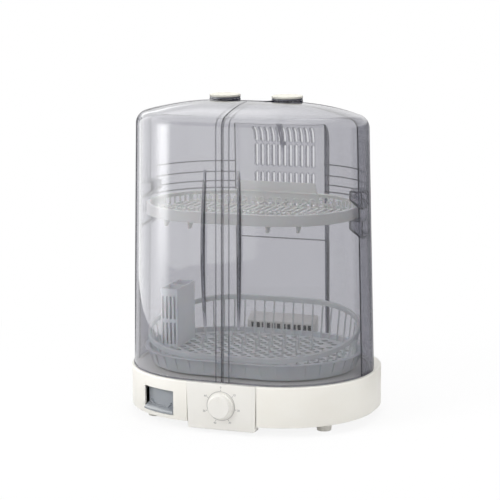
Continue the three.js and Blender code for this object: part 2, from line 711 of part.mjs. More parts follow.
function baseHousing() {
  const outer = solid(prism(baseShape(BASE_EDGE), [BASE_BOTTOM + BASE_EDGE, BASE_TOP - BASE_EDGE], {
    bevelEnabled: true, bevelThickness: BASE_EDGE, bevelSize: BASE_EDGE, bevelSegments: 1,
  }));
  const deckUnder = BASE_TOP - DECK;
  const cavity = solid(prism(baseShape(BASE_WALL), [0, deckUnder]));
  const ringR = hoodRadius(COVER_BOTTOM) - COVER_INSET - WALL - 2 * GAP;
  const ribTop = BASE_TOP + LOCATING_RIB_HEIGHT;
  const underCover = [-1, 1].map((side) => sector(side, COVER_FRONT_ANGLE, LOCATING_END_ANGLE, [0, ABOVE]));
  const locatingRing = ovalRing(ringR - LOCATING_RIB, ringR, [BASE_TOP - DECK / 2, ribTop])
    .intersect(join(underCover));
  const bosses = BOSS_PLACES.map(([x, y]) =>
    solid(rod(BOSS_R, x, y, [BASE_BOTTOM + COVER_PLATE + 2 * GAP, deckUnder + DECK / 2], 12)));
  const pilots = BOSS_PLACES.map(([x, y]) =>
    solid(rod(SCREW_R + GAP, x, y, [0, BASE_BOTTOM + SCREW_LENGTH + OVERRUN], 8)));
  const stiffeners = [
    [HALF_SPINE + TANK_HALF, BASE_HALF - BASE_WALL],
    [-BASE_HALF + BASE_WALL, -HALF_SPINE - 2 * TANK_HALF],
  ].map((x) => solid(block(x, [-STIFFENER / 2, STIFFENER / 2],
    [deckUnder - STIFFENER_DROP, deckUnder + DECK / 2])));
  const bay = solid(inBay(block([-TANK_HALF - TANK_CLEARANCE, TANK_HALF + TANK_CLEARANCE],
    [-WIDE, -TANK_FRONT_R + OVERRUN], [TANK_BOTTOM - TANK_CLEARANCE, TANK_TOP + TANK_CLEARANCE])));
  const mouth = solid(block([-MOUTH_HALF, MOUTH_HALF], MOUTH_Y, [deckUnder - OVERRUN, BASE_TOP + OVERRUN]));
  const drain = solid(rod(FUNNEL_R + GAP, DRAIN.x, DRAIN.y, [deckUnder - OVERRUN, BASE_TOP + OVERRUN], 12));
  const gland = solid(rodY(GLAND_R + 2 * GAP, GLAND_PLACE.x, [BASE_SIDE, WIDE], GLAND_PLACE.z));
  const body = join(outer.subtract(cavity), locatingRing, bosses, stiffeners);
  return cut(body, pilots, bay, mouth, drain, gland, panelNotch(GAP, [0, ABOVE]));
}

function bottomCover() {
  const z = [BASE_BOTTOM + GAP, BASE_BOTTOM + GAP + COVER_PLATE];
  const plate = solid(prism(baseShape(BASE_WALL + GAP), z));
  const through = [z[0] - OVERRUN, z[1] + OVERRUN];
  const slots = Array.from({ length: INTAKE_SLOTS }, (_, i) => {
    const y = (i - (INTAKE_SLOTS - 1) / 2) * INTAKE_PITCH;
    const half = Math.sqrt(INLET_R ** 2 - y ** 2);
    return solid(block([BLOWER.x - half, BLOWER.x + half],
      [BLOWER.y + y - INTAKE_SLOT / 2, BLOWER.y + y + INTAKE_SLOT / 2], through));
  });
  const screwHoles = BOSS_PLACES.map(([x, y]) => solid(rod(SCREW_R + 2 * GAP, x, y, through, 8)));
  const footHoles = FOOT_PLACES.map(([x, y]) => solid(rod(FOOT_STEM_R + 2 * GAP, x, y, through, 12)));
  const rails = [-1, 1].map((side) => solid(inBay(block(
    [side * TANK_RAIL_X - TANK_RAIL / 2, side * TANK_RAIL_X + TANK_RAIL / 2],
    [-TANK_FRONT_R + OVERRUN, -TANK_INNER_R], [z[0] + COVER_PLATE / 2, TANK_BOTTOM - GAP]))));
  return cut(join(plate, rails), slots, screwHoles, footHoles, panelNotch(2 * GAP, [0, ABOVE]));
}

function coverScrew([x, y]) {
  const under = BASE_BOTTOM;
  const profile = [
    [0, under - SCREW_HEAD],
    [SCREW_HEAD_R - SCREW_HEAD / 2, under - SCREW_HEAD],
    [SCREW_HEAD_R, under - SCREW_HEAD / 2],
    [SCREW_HEAD_R, under],
    [SCREW_R, under],
    [SCREW_R, under + SCREW_LENGTH - SCREW_R],
    [0, under + SCREW_LENGTH],
  ];
  return solid(turned(profile, 8).translate(x, y, 0));
}

function foot([x, y]) {
  const top = BASE_BOTTOM;
  const profile = [
    [0, 0], [FOOT_R - FOOT_TAPER, 0], [FOOT_R, top], [FOOT_STEM_R, top],
    [FOOT_STEM_R, top + FOOT_STEM], [0, top + FOOT_STEM],
  ];
  return solid(turned(profile, 12).translate(x, y, 0));
}

// Control panel with its knob, shaft and timer
function controlPanel() {
  const outline = (inset) => shapeOf([
    [-PANEL_HALF_BOTTOM + inset, PANEL_BOTTOM + inset], [PANEL_HALF_BOTTOM - inset, PANEL_BOTTOM + inset],
    [PANEL_HALF_TOP - inset, BASE_TOP - inset], [-PANEL_HALF_TOP + inset, BASE_TOP - inset],
  ]);
  const back = PANEL_Y + PANEL_DEPTH;
  const outer = solid(drawnAlongY(outline(PANEL_EDGE), [PANEL_Y + PANEL_EDGE, back - PANEL_EDGE], {
    bevelEnabled: true, bevelThickness: PANEL_EDGE, bevelSize: PANEL_EDGE, bevelSegments: 1,
  }));
  const hollow = solid(drawnAlongY(outline(PANEL_WALL), [PANEL_Y + PANEL_WALL, back + OVERRUN]));
  const shaftHole = solid(rodY(SHAFT_R + 3 * GAP, 0, [PANEL_Y - OVERRUN, back], KNOB_Z));
  return cut(outer, hollow, shaftHole);
}

function timerKnob() {
  const h = KNOB_HEIGHT;
  const bore = SHAFT_R + GAP;
  const profile = [
    [0, KNOB_BORE],
    [bore, KNOB_BORE],
    [bore, 0],
    [KNOB_R - CAP_EDGE / 2, 0],
    [KNOB_R, CAP_EDGE / 2],
    [KNOB_R, KNOB_RIM],
    [KNOB_NECK_R, KNOB_RIM + CAP_EDGE],
    [KNOB_NECK_R - CAP_EDGE, h - 2 * CAP_EDGE],
    [KNOB_NECK_R - 3 * CAP_EDGE, h],
    [0, h],
  ];
  const body = solid(turned(profile, 20).rotateX(90 * DEG).translate(0, PANEL_Y - GAP, KNOB_Z));
  const [width, length, depth] = POINTER;
  const groove = solid(block([-width / 2, width / 2], [KNOB_FRONT - OVERRUN, KNOB_FRONT + depth],
    [KNOB_Z + KNOB_NECK_R - length - 2 * CAP_EDGE, KNOB_Z + KNOB_NECK_R + OVERRUN]));
  return body.subtract(groove);
}

const SHAFT_FRONT = PANEL_Y - KNOB_BORE;
const timerShaft = () => solid(rodY(SHAFT_R, 0, [SHAFT_FRONT, SHAFT_FRONT + SHAFT_LENGTH], KNOB_Z, 16));

function timerUnit() {
  const front = PANEL_Y + PANEL_WALL + GAP;
  const shaftEnd = SHAFT_FRONT + SHAFT_LENGTH + GAP;
  const body = solid(block([-TIMER_HALF[0], TIMER_HALF[0]], [front + BAR, front + TIMER_DEPTH],
    [KNOB_Z - TIMER_HALF[1], KNOB_Z + TIMER_HALF[1]]));
  const bush = solid(rodY(TIMER_BUSH_R, 0, [front, front + 2 * BAR], KNOB_Z));
  const earX = [TIMER_HALF[0] - BAR, TIMER_HALF[0] + 3 * BAR];
  const ears = [earX, [-earX[1], -earX[0]]].map((x) => solid(block(x,
    [front, front + 2 * BAR], [KNOB_Z - 2 * BAR, KNOB_Z + 2 * BAR])));
  return cut(join(body, bush, ears), solid(rodY(SHAFT_R + GAP, 0, [front - OVERRUN, shaftEnd], KNOB_Z, 16)));
}

// Drain tank and funnel
function drainTank() {
  const across = [-TANK_HALF, TANK_HALF];
  const lipR = BASE_R + TANK_LIP;
  const front = [
    [TANK_FRONT_R - TANK_WALL, TANK_TOP],
    [TANK_FRONT_R, TANK_TOP],
    [TANK_FRONT_R, TANK_BOTTOM + 4 * TANK_LIP],
    [lipR - TANK_WALL, TANK_BOTTOM + 2 * TANK_LIP],
    [lipR, TANK_BOTTOM + TANK_LIP],
    [lipR, TANK_BOTTOM],
    [TANK_FRONT_R - TANK_WALL, TANK_BOTTOM],
  ];
  const face = solid(turned([...front, front[0]])).intersect(
    solid(block(across, [-WIDE, -TANK_INNER_R], [0, ABOVE])));
  const box = solid(block(across, [-TANK_FRONT_R + TANK_WALL, -TANK_INNER_R], [TANK_BOTTOM, TANK_TOP]));
  const hollow = solid(block([across[0] + TANK_WALL, across[1] - TANK_WALL],
    [-TANK_FRONT_R - TANK_HALF, -TANK_INNER_R - TANK_WALL], [TANK_BOTTOM + TANK_WALL, TANK_TOP + OVERRUN]));
  const bowlZ = [TANK_BOTTOM - OVERRUN, TANK_TOP + OVERRUN];
  const bowl = solid(rod(TANK_FRONT_R - TANK_WALL, 0, 0, bowlZ, ARC_STEPS));
  const body = join(face, cut(box.intersect(bowl), hollow.intersect(bowl)));
  return solid(inBay(geometryOf(body)));
}

function drainFunnel() {
  const top = BASE_TOP - GAP;
  const flangeTop = BASE_TOP - DECK - GAP;
  const bore = FUNNEL_R - FUNNEL_WALL;
  const profile = [
    [bore, FUNNEL_BOTTOM], [FUNNEL_R, FUNNEL_BOTTOM], [FUNNEL_R, flangeTop - FUNNEL_WALL],
    [FUNNEL_FLANGE_R, flangeTop - FUNNEL_WALL], [FUNNEL_FLANGE_R, flangeTop], [FUNNEL_R, flangeTop],
    [FUNNEL_R, top], [FUNNEL_R - FUNNEL_WALL / 3, top], [bore, flangeTop - FUNNEL_WALL],
  ];
  return solid(turned([...profile, profile[0]], 12).translate(DRAIN.x, DRAIN.y, 0));
}

// Drip tray
function dripTray() {
  const under = TRAY_TOP - TRAY_WALL;
  const outer = oval([
    [0, TRAY_BOTTOM], [TRAY_FLOOR_R, TRAY_BOTTOM], [TRAY_RIM_R, under], [TRAY_FLANGE_R, under],
    [TRAY_FLANGE_R, TRAY_TOP], [0, TRAY_TOP],
  ]);
  const floor = TRAY_BOTTOM + TRAY_WALL;
  const inner = oval([
    [0, floor],
    [TRAY_FLOOR_R - TRAY_WALL, floor],
    [TRAY_RIM_R - TRAY_WALL, TRAY_TOP],
    [TRAY_RIM_R - TRAY_WALL, TRAY_TOP + OVERRUN],
    [0, TRAY_TOP + OVERRUN],
  ]);
  const ribs = Array.from({ length: TRAY_RIBS }, (_, i) => {
    const at = alongOval(TRAY_FLOOR_R, (i + 0.5) / TRAY_RIBS);
    const plate = drawnAlongY(shapeOf([
      [-TRAY_WALL / 2, TRAY_BOTTOM + TRAY_WALL], [0, TRAY_BOTTOM + TRAY_WALL],
      [TRAY_FLANGE_R - TRAY_FLOOR_R - TRAY_WALL, TRAY_TOP - TRAY_WALL / 2],
      [TRAY_RIM_R - TRAY_FLOOR_R - TRAY_WALL / 2, TRAY_TOP - TRAY_WALL / 2],
    ]), [-TRAY_RIB_WIDTH / 2, TRAY_RIB_WIDTH / 2]);
    return solid(plate.rotateZ(Math.atan2(at.ny, at.nx)).translate(at.x, at.y, 0));
  });
  const spout = solid(rod(SPOUT_R, DRAIN.x, DRAIN.y, [SPOUT_BOTTOM, TRAY_BOTTOM + TRAY_WALL / 2]));
  const bore = solid(rod(SPOUT_BORE_R, DRAIN.x, DRAIN.y, [SPOUT_BOTTOM - OVERRUN, TRAY_TOP]));
  const feetZ = [BASE_TOP + GAP, TRAY_BOTTOM + TRAY_WALL / 2];
  const feet = TRAY_FEET.map(([x, y]) => solid(block(
    [x - TRAY_FOOT, x + TRAY_FOOT], [y - TRAY_FOOT, y + TRAY_FOOT], feetZ)));
  return cut(join(outer.subtract(inner), ribs, spout, feet), bore);
}

// Lower basket
function lowerBasket() {
  const rimZ = [BASKET_RIM_Z - BASKET_RIM_HEIGHT, BASKET_RIM_Z];
  const rim = ovalRing(BASKET_RIM_R - BASKET_RIM_WIDTH, BASKET_RIM_R, rimZ, BASKET_SLOPE);
  const floorZ = [BASKET_FLOOR_Z, BASKET_FLOOR_Z + BASKET_FLOOR];
  const plate = solid(prism(ovalShape(BASKET_FLOOR_R), floorZ));
  const holes = [];
  const reach = Math.ceil((HALF_SPINE + BASKET_FLOOR_R) / DIAMOND_PITCH) * 2;
  for (let i = -reach; i <= reach; i++) {
    for (let j = -reach; j <= reach; j++) {
      if ((i + j) % 2 !== 0) continue;
      const x = (i * DIAMOND_PITCH) / 2;
      const y = (j * DIAMOND_PITCH) / 2;
      const out = Math.hypot(Math.max(Math.abs(x) - HALF_SPINE, 0), y);
      if (out > BASKET_FLOOR_R - BAR - DIAMOND / 2) continue;
      const nearLeg = ([lx, ly]) => Math.hypot(x - lx, y - ly) < DIAMOND / 2 + BASKET_LEG_R / 2;
      if (BASKET_LEGS.some(nearLeg)) continue;
      const diamond = new THREE.CylinderGeometry(DIAMOND / 2, DIAMOND / 2, 4 * BASKET_FLOOR, 4);
      holes.push(solid(diamond.rotateX(90 * DEG).translate(x, y, BASKET_FLOOR_Z)));
    }
  }
  const bars = Array.from({ length: BASKET_BARS }, (_, i) => {
    const foot = alongOval(BASKET_FLOOR_R - BAR / 2, (i + 0.5) / BASKET_BARS);
    const grow = BASKET_RIM_R - BASKET_RIM_WIDTH / 2 - (BASKET_FLOOR_R - BAR / 2);
    const head = { x: foot.x + foot.nx * grow, y: foot.y + foot.ny * grow };
    const headZ = (rimZ[0] + rimZ[1]) / 2 + BASKET_SLOPE * head.y;
    return solid(bar([foot.x, foot.y, BASKET_FLOOR_Z + BASKET_FLOOR / 2], [head.x, head.y, headZ], BAR));
  });
  const legZ = [TRAY_BOTTOM + TRAY_WALL + GAP, BASKET_FLOOR_Z + BASKET_FLOOR / 2];
  const legs = BASKET_LEGS.map(([x, y]) => solid(rod(BASKET_LEG_R, x, y, legZ, 8)));
  const pitch = DIAMOND_PITCH / 2;
  const firstTine = -(TINES_PER_ROW - 1) * pitch / 2;
  const tineZ = [BASKET_FLOOR_Z + BASKET_FLOOR / 2, BASKET_FLOOR_Z + BASKET_FLOOR + TINE_HEIGHT];
  const tines = [-1, 1].flatMap((side) => Array.from({ length: TINES_PER_ROW }, (_, i) => {
    const x = firstTine + i * pitch;
    return solid(bar([x, side * pitch, tineZ[0]], [x, side * pitch, tineZ[1]], TINE));
  }));
  const tineBars = [-1, 1].map((side) => solid(block([firstTine - TINE, -firstTine + TINE],
    [side * pitch - BAR / 2, side * pitch + BAR / 2], floorZ)));
  return join(cut(plate, holes), rim, bars, legs, tineBars, tines);
}

// Upper rack, which stands between the two levels of brackets
function upperRack() {
  const bottom = BRACKET_LEVELS[0] + GAP;
  const rimTop = bottom + RACK_RIM_HEIGHT;
  const rim = ovalRing(RACK_R - RACK_RIM_WIDTH, RACK_R, [bottom, rimTop])
    .add(ovalRing(RACK_R - 2 * RACK_RIM_WIDTH, RACK_R, [rimTop - RACK_RIM_WIDTH, rimTop]));
  const floorZ = [bottom, bottom + RACK_FLOOR];
  const plate = solid(prism(ovalShape(RACK_R - RACK_RIM_WIDTH / 2), floorZ));
  const slots = [];
  const most = Math.floor((HALF_SPINE + RACK_R) / RACK_SLOT_PITCH);
  for (let i = -most; i <= most; i++) {
    const x = i * RACK_SLOT_PITCH;
    const out = Math.max(Math.abs(x) + RACK_SLOT / 2 - HALF_SPINE, 0);
    const reach = RACK_R - 3 * RACK_RIM_WIDTH;
    if (out >= reach) continue;
    const half = Math.sqrt(reach ** 2 - out ** 2);
    const bands = [[-half, -BAR], [BAR, half]];
    for (const y of bands) {
      if (y[1] - y[0] < RACK_SLOT) continue;
      const z = [bottom - OVERRUN, bottom + 2 * RACK_FLOOR];
      slots.push(solid(block([x - RACK_SLOT / 2, x + RACK_SLOT / 2], y, z)));
    }
  }
  const tines = [];
  const tineZ = [bottom + RACK_FLOOR / 2, bottom + RACK_FLOOR + RACK_TINE_HEIGHT];
  for (const y of [-RACK_R / 2, RACK_R / 2]) {
    for (let i = 0; i < RACK_TINE_COUNT; i++) {
      const x = (i - (RACK_TINE_COUNT - 1) / 2) * RACK_SLOT_PITCH;
      const out = Math.hypot(Math.max(Math.abs(x) - HALF_SPINE, 0), y);
      if (out > RACK_R - 4 * RACK_RIM_WIDTH) continue;
      tines.push(solid(bar([x, y, tineZ[0]], [x, y, tineZ[1]], TINE)));
    }
  }
  const backY = RACK_R - RACK_PLATE;
  const plateTop = BRACKET_LEVELS[0] + RACK_PLATE_RISE;
  const backPlate = solid(drawnAlongY(shapeOf([
    [-RACK_PLATE_HALF[0], bottom], [RACK_PLATE_HALF[0], bottom], [RACK_PLATE_HALF[1], plateTop],
    [-RACK_PLATE_HALF[1], plateTop],
  ]), [backY - RACK_PLATE, backY]));
  const gussets = RACK_GUSSETS.map((x) => {
    const out = Math.max(Math.abs(x) - HALF_SPINE, 0);
    const y = -Math.sqrt((RACK_R - RACK_RIM_WIDTH) ** 2 - out ** 2);
    return solid(drawnAlongX(shapeOf([
      [y, bottom + RACK_FLOOR / 2],
      [y + RACK_GUSSET_LENGTH, bottom + RACK_FLOOR / 2],
      [y + RACK_GUSSET_LENGTH / 2, bottom - RACK_GUSSET_DROP],
      [y + BAR, bottom - RACK_GUSSET_DROP],
    ]), [x - BAR / 2, x + BAR / 2]));
  });
  return join(cut(plate, slots), rim, tines, backPlate, gussets);
}

// Cutlery holder
function cutleryHolder() {
  const floor = BASKET_FLOOR_Z + BASKET_FLOOR + GAP;
  const w = HOLDER_WALL;
  const box = solid(block(HOLDER_X, HOLDER_Y, [floor, HOLDER_TOP]));
  const hollow = solid(block([HOLDER_X[0] + w, HOLDER_X[1] - w], [HOLDER_Y[0] + w, HOLDER_Y[1] - w],
    [floor + w, HOLDER_TOP + OVERRUN]));
  const middleY = (HOLDER_Y[0] + HOLDER_Y[1]) / 2;
  const dividerY = [middleY - w / 2, middleY + w / 2];
  const divider = solid(block(HOLDER_X, dividerY, [floor, HOLDER_TOP - 2 * OVERRUN]));
  const slots = [];
  const across = HOLDER_X[1] - HOLDER_X[0] - 2 * w;
  const count = Math.floor(across / HOLDER_SLOT_PITCH);
  for (const z of HOLDER_SLOT_ROWS) {
    for (let i = 0; i < count; i++) {
      const x = (HOLDER_X[0] + HOLDER_X[1]) / 2 + (i - (count - 1) / 2) * HOLDER_SLOT_PITCH;
      for (const y of HOLDER_Y) {
        slots.push(solid(block([x - HOLDER_SLOT / 2, x + HOLDER_SLOT / 2], [y - 2 * w, y + 2 * w], z)));
      }
    }
  }
  const drains = [-1, 1].flatMap((i) => [-1, 1].map((j) => {
    const x = (HOLDER_X[0] + HOLDER_X[1]) / 2 + (i * across) / 4;
    const y = middleY + (j * (HOLDER_Y[1] - HOLDER_Y[0])) / 4;
    return solid(block([x - HOLDER_SLOT, x + HOLDER_SLOT], [y - HOLDER_SLOT, y + HOLDER_SLOT],
      [floor - OVERRUN, floor + OVERRUN]));
  }));
  return cut(join(cut(box, hollow), divider), slots, drains);
}

// Hot air outlet on the deck
function hotAirOutlet() {
  const bottom = BASE_TOP + GAP;
  const side = (inset, low) => shapeOf([
    [OUTLET_Y[0] + inset, low], [OUTLET_Y[1] - inset, low], [OUTLET_Y[1] - inset, OUTLET_TOP - inset],
    [OUTLET_Y[0] + inset, OUTLET_FRONT_TOP - inset],
  ]);
  const box = solid(drawnAlongX(side(0, bottom), [-OUTLET_HALF, OUTLET_HALF]));
  const innerHalf = OUTLET_HALF - OUTLET_WALL;
  const hollow = solid(drawnAlongX(side(OUTLET_WALL, bottom - OVERRUN), [-innerHalf, innerHalf]));
  const slots = [];
  for (const z of OUTLET_SLOT_ROWS) {
    for (let pair = 0; pair < OUTLET_PAIRS; pair++) {
      for (const half of [-1, 1]) {
        const x = (pair - (OUTLET_PAIRS - 1) / 2) * OUTLET_PAIR_PITCH + (half * OUTLET_SLOT_PITCH) / 2;
        slots.push(solid(block([x - OUTLET_SLOT[0] / 2, x + OUTLET_SLOT[0] / 2],
          [OUTLET_Y[0] - OVERRUN, OUTLET_Y[0] + OVERRUN], [z - OUTLET_SLOT[1] / 2, z + OUTLET_SLOT[1] / 2])));
      }
    }
  }
  return cut(box, hollow, slots);
}

// Blower under the deck: a scroll that widens anticlockwise and blows backwards into the duct
function scrollShape(inset, mouthY) {
  const STEPS = 20;
  const sweep = 360 - SCROLL_START_ANGLE;
  const points = [];
  for (let i = 0; i <= STEPS; i++) {
    const angle = (SCROLL_START_ANGLE + (sweep * i) / STEPS) * DEG;
    const r = SCROLL_START_R + ((SCROLL_END_R - SCROLL_START_R) * i) / STEPS - inset;
    points.push([r * Math.cos(angle), r * Math.sin(angle)]);
  }
  points.push([SCROLL_END_R - inset, mouthY]);
  points.push([SCROLL_START_R * Math.cos(SCROLL_START_ANGLE * DEG) + inset, mouthY]);
  return shapeOf(points);
}

function blowerHousing() {
  const mouthY = DUCT_Y[0] - GAP - BLOWER.y;
  const outer = solid(prism(scrollShape(0, mouthY), SCROLL_Z).translate(BLOWER.x, BLOWER.y, 0));
  const hollow = solid(prism(scrollShape(SCROLL_WALL, mouthY + OVERRUN),
    [SCROLL_Z[0] + SCROLL_WALL, SCROLL_Z[1] - SCROLL_WALL]).translate(BLOWER.x, BLOWER.y, 0));
  const atBlower = (radius, z, steps) => solid(rod(radius, BLOWER.x, BLOWER.y, z, steps));
  const inlet = atBlower(INLET_R, [SCROLL_Z[0] - OVERRUN, SCROLL_Z[0] + OVERRUN], 24);
  const shaft = atBlower(MOTOR_SHAFT_R + 3 * GAP, [SCROLL_Z[0], SCROLL_Z[1] + OVERRUN], 16);
  return cut(outer, hollow, inlet, shaft);
}

function fanWheel() {
  const at = (geometry) => geometry.translate(BLOWER.x, BLOWER.y, 0);
  const plate = solid(at(turned([[0, WHEEL_Z[1] - WHEEL_PLATE], [WHEEL_R, WHEEL_Z[1] - WHEEL_PLATE],
    [WHEEL_R, WHEEL_Z[1]], [0, WHEEL_Z[1]]], WHEEL_STEPS)));
  const ringProfile = [[WHEEL_INNER_R + 2 * BLADE_THICKNESS, WHEEL_Z[0]], [WHEEL_R, WHEEL_Z[0]],
    [WHEEL_R, WHEEL_Z[0] + WHEEL_PLATE], [WHEEL_INNER_R + 2 * BLADE_THICKNESS, WHEEL_Z[0] + WHEEL_PLATE]];
  const ring = solid(at(turned([...ringProfile, ringProfile[0]], WHEEL_STEPS)));
  const hub = solid(rod(WHEEL_HUB_R, BLOWER.x, BLOWER.y, [WHEEL_Z[0] + 2 * WHEEL_PLATE, WHEEL_Z[1]], 8));
  const depth = WHEEL_R - WHEEL_INNER_R;
  const blades = Array.from({ length: BLADES }, (_, i) => {
    // A blade is a short arc that leans forward at the rim.
    const shape = new THREE.Shape();
    shape.absarc(0, 0, depth, 0, BLADE_ARC, false);
    shape.absarc(0, 0, depth - BLADE_THICKNESS, BLADE_ARC, 0, true);
    const z = [WHEEL_Z[0] + WHEEL_PLATE / 2, WHEEL_Z[1] - WHEEL_PLATE / 2];
    const blade = prism(shape, z, { curveSegments: 1 });
    blade.rotateZ(-90 * DEG).translate(WHEEL_INNER_R + BLADE_THICKNESS / 4, depth - BLADE_THICKNESS, 0);
    return solid(at(blade.rotateZ((360 * i * DEG) / BLADES)));
  });
  const rimR = WHEEL_R - BLADE_THICKNESS / 4;
  const inRim = solid(rod(rimR, BLOWER.x, BLOWER.y, WHEEL_Z, WHEEL_STEPS));
  const bore = solid(rod(MOTOR_SHAFT_R + GAP, BLOWER.x, BLOWER.y, [0, ABOVE], 16));
  return cut(join(plate, ring, hub, blades.map((blade) => blade.intersect(inRim))), bore);
}

const motorShaft = () => solid(rod(MOTOR_SHAFT_R, BLOWER.x, BLOWER.y,
  [WHEEL_Z[0] + 2 * WHEEL_PLATE, SCROLL_Z[1] + MOTOR_HEIGHT / 2], 16));

function fanMotor() {
  const bottom = SCROLL_Z[1] + GAP;
  const top = bottom + MOTOR_HEIGHT;
  const profile = [
    [0, bottom], [MOTOR_R, bottom], [MOTOR_R, bottom + WHEEL_PLATE], [MOTOR_CAN_R, bottom + WHEEL_PLATE],
    [MOTOR_CAN_R, top - SCROLL_WALL], [MOTOR_TOP_R, top], [0, top],
  ];
  const body = solid(turned(profile, 16).translate(BLOWER.x, BLOWER.y, 0));
  const bore = solid(rod(MOTOR_SHAFT_R + GAP, BLOWER.x, BLOWER.y,
    [bottom - OVERRUN, SCROLL_Z[1] + MOTOR_HEIGHT / 2 + GAP], 16));
  return body.subtract(bore);
}

function airDuct() {
  const w = SCROLL_WALL;
  const box = solid(block([-DUCT_HALF, DUCT_HALF], DUCT_Y, DUCT_Z));
  const hollow = solid(block([-DUCT_HALF + w, DUCT_HALF - w],
    [DUCT_Y[0] + w, DUCT_Y[1] - w], [DUCT_Z[0] + w, DUCT_Z[1] - w]));
  const mouth = solid(block([-MOUTH_HALF, MOUTH_HALF], MOUTH_Y, [DUCT_Z[1] - 2 * w, DUCT_Z[1] + OVERRUN]));
  const entry = solid(block(
    [BLOWER.x + SCROLL_START_R * Math.cos(SCROLL_START_ANGLE * DEG) + w, BLOWER.x + SCROLL_END_R - w],
    [DUCT_Y[0] - OVERRUN, DUCT_Y[0] + OVERRUN], [SCROLL_Z[0] + w, SCROLL_Z[1] - w]));
  return cut(box, hollow, mouth, entry);
}

const HEATER_X = DUCT_HALF - SCROLL_WALL - GAP;
const HEATER_Y = [DUCT_Y[0] + SCROLL_WALL + GAP, DUCT_Y[1] - SCROLL_WALL - GAP];
const BOARD_TOP = HEATER_Z[0] + (HEATER_Z[1] - HEATER_Z[0]) / 3;

function heaterFrame() {
  const outer = solid(block([-HEATER_X, HEATER_X], HEATER_Y, HEATER_Z));
  const b = HEATER_BOARD;
  const hollow = solid(block([-HEATER_X + b, HEATER_X - b], [HEATER_Y[0] + b, HEATER_Y[1] - b],
    [HEATER_Z[0] - OVERRUN, HEATER_Z[1] + OVERRUN]));
  const boards = [-1, 0, 1].map((i) => {
    const y = (HEATER_Y[0] + HEATER_Y[1]) / 2 + (i * (HEATER_Y[1] - HEATER_Y[0])) / 4;
    return solid(block([-HEATER_X, HEATER_X], [y - b / 2, y + b / 2], [HEATER_Z[0], BOARD_TOP]));
  });
  return join(cut(outer, hollow), boards);
}

function heaterElement() {
  const z = [BOARD_TOP + GAP, BOARD_TOP + GAP + 4 * HEATER_WIRE];
  const half = HEATER_X - HEATER_BOARD - HEATER_WIRE;
  const y = [HEATER_Y[0] + HEATER_BOARD + HEATER_WIRE, HEATER_Y[1] - HEATER_BOARD - HEATER_WIRE];
  const step = (2 * half) / HEATER_RUNS;
  const runs = [];
  for (let i = 0; i <= HEATER_RUNS; i++) {
    const x = -half + i * step;
    runs.push(solid(block([x - HEATER_WIRE / 2, x + HEATER_WIRE / 2], y, z)));
    if (i === HEATER_RUNS) break;
    const end = i % 2 === 0 ? [y[1] - HEATER_WIRE, y[1]] : [y[0], y[0] + HEATER_WIRE];
    runs.push(solid(block([x, x + step], end, z)));
  }
  return join(runs);
}

function thermalCutout() {
  const z = [HEATER_Z[1] + GAP, HEATER_Z[1] + GAP + CUTOUT_HEIGHT];
  const x = HEATER_X - CUTOUT_R;
  const y = HEATER_Y[0] + CUTOUT_R;
  return join(solid(rod(CUTOUT_R, x, y, z, 12)), solid(block([x - CUTOUT_R / 4, x + CUTOUT_R / 4],
    [y - CUTOUT_R, y + CUTOUT_R], [z[0], z[1] + CUTOUT_HEIGHT / 4])));
}

// A thin foam pad in a stiffer rim
function intakeFilter() {
  const rim = 2 * SCROLL_WALL;
  const pad = [FILTER_Z[0] + WHEEL_PLATE / 2, FILTER_Z[1] - WHEEL_PLATE / 2];
  const profile = [
    [0, pad[0]],
    [FILTER_R - rim, pad[0]],
    [FILTER_R - rim, FILTER_Z[0]],
    [FILTER_R, FILTER_Z[0]],
    [FILTER_R, FILTER_Z[1]],
    [FILTER_R - rim, FILTER_Z[1]],
    [FILTER_R - rim, pad[1]],
    [0, pad[1]],
  ];
  return solid(turned(profile, 16).translate(BLOWER.x, BLOWER.y, 0));
}

// The bush where a cord would enter, at the back
function cordGland() {
  const bore = GLAND_R / 2;
  const profile = [
    [bore, -GLAND_PROUD],
    [GLAND_FLANGE_R - CAP_EDGE, -GLAND_PROUD],
    [GLAND_FLANGE_R, -GLAND_PROUD + CAP_EDGE],
    [GLAND_FLANGE_R, 0],
    [GLAND_R, 0],
    [GLAND_R, GLAND_LENGTH],
    [bore, GLAND_LENGTH],
    [bore, -GLAND_PROUD],
  ];
  const bush = turned(profile, 12).rotateX(90 * DEG);
  const body = solid(bush.translate(GLAND_PLACE.x, GLAND_Y, GLAND_PLACE.z));
  return body.subtract(solid(prism(baseShape(-GAP), [0, BASE_TOP])).subtract(
    solid(rodY(GLAND_R + GAP, GLAND_PLACE.x, [BASE_SIDE, WIDE], GLAND_PLACE.z))));
}

// Assembly
const dryer = new THREE.Group();
dryer.position.y = -MIDDLE_Y;

function add(name, body, material) {
  const mesh = new THREE.Mesh(geometryOf(body), material);
  mesh.name = name;
  dryer.add(mesh);
}

add('base_housing', baseHousing(), IVORY);
add('base_bottom_cover', bottomCover(), IVORY);
BOSS_PLACES.forEach((place, i) => add(`cover_screw_${i + 1}`, coverScrew(place), STEEL));
FOOT_PLACES.forEach((place, i) => add(`foot_${i + 1}`, foot(place), RUBBER));
add('control_panel', controlPanel(), IVORY);
add('timer_knob', timerKnob(), IVORY);
add('timer_shaft', timerShaft(), STEEL);
add('timer_unit', timerUnit(), BLACK);
add('drain_tank', drainTank(), TANK_SMOKE);
add('drain_funnel', drainFunnel(), RUBBER);
add('drip_tray', dripTray(), TRAY_CLEAR);
add('lower_basket', lowerBasket(), RACK_GREY);
add('cutlery_holder', cutleryHolder(), HOLDER_GREY);
add('upper_rack', upperRack(), RACK_GREY);
add('hot_air_outlet', hotAirOutlet(), IVORY);
add('air_duct', airDuct(), STEEL);
add('heater_frame', heaterFrame(), MICA);
add('heater_element', heaterElement(), STEEL);
add('thermal_cutout', thermalCutout(), BLACK);
add('blower_housing', blowerHousing(), IVORY);
add('fan_wheel', fanWheel(), BLACK);
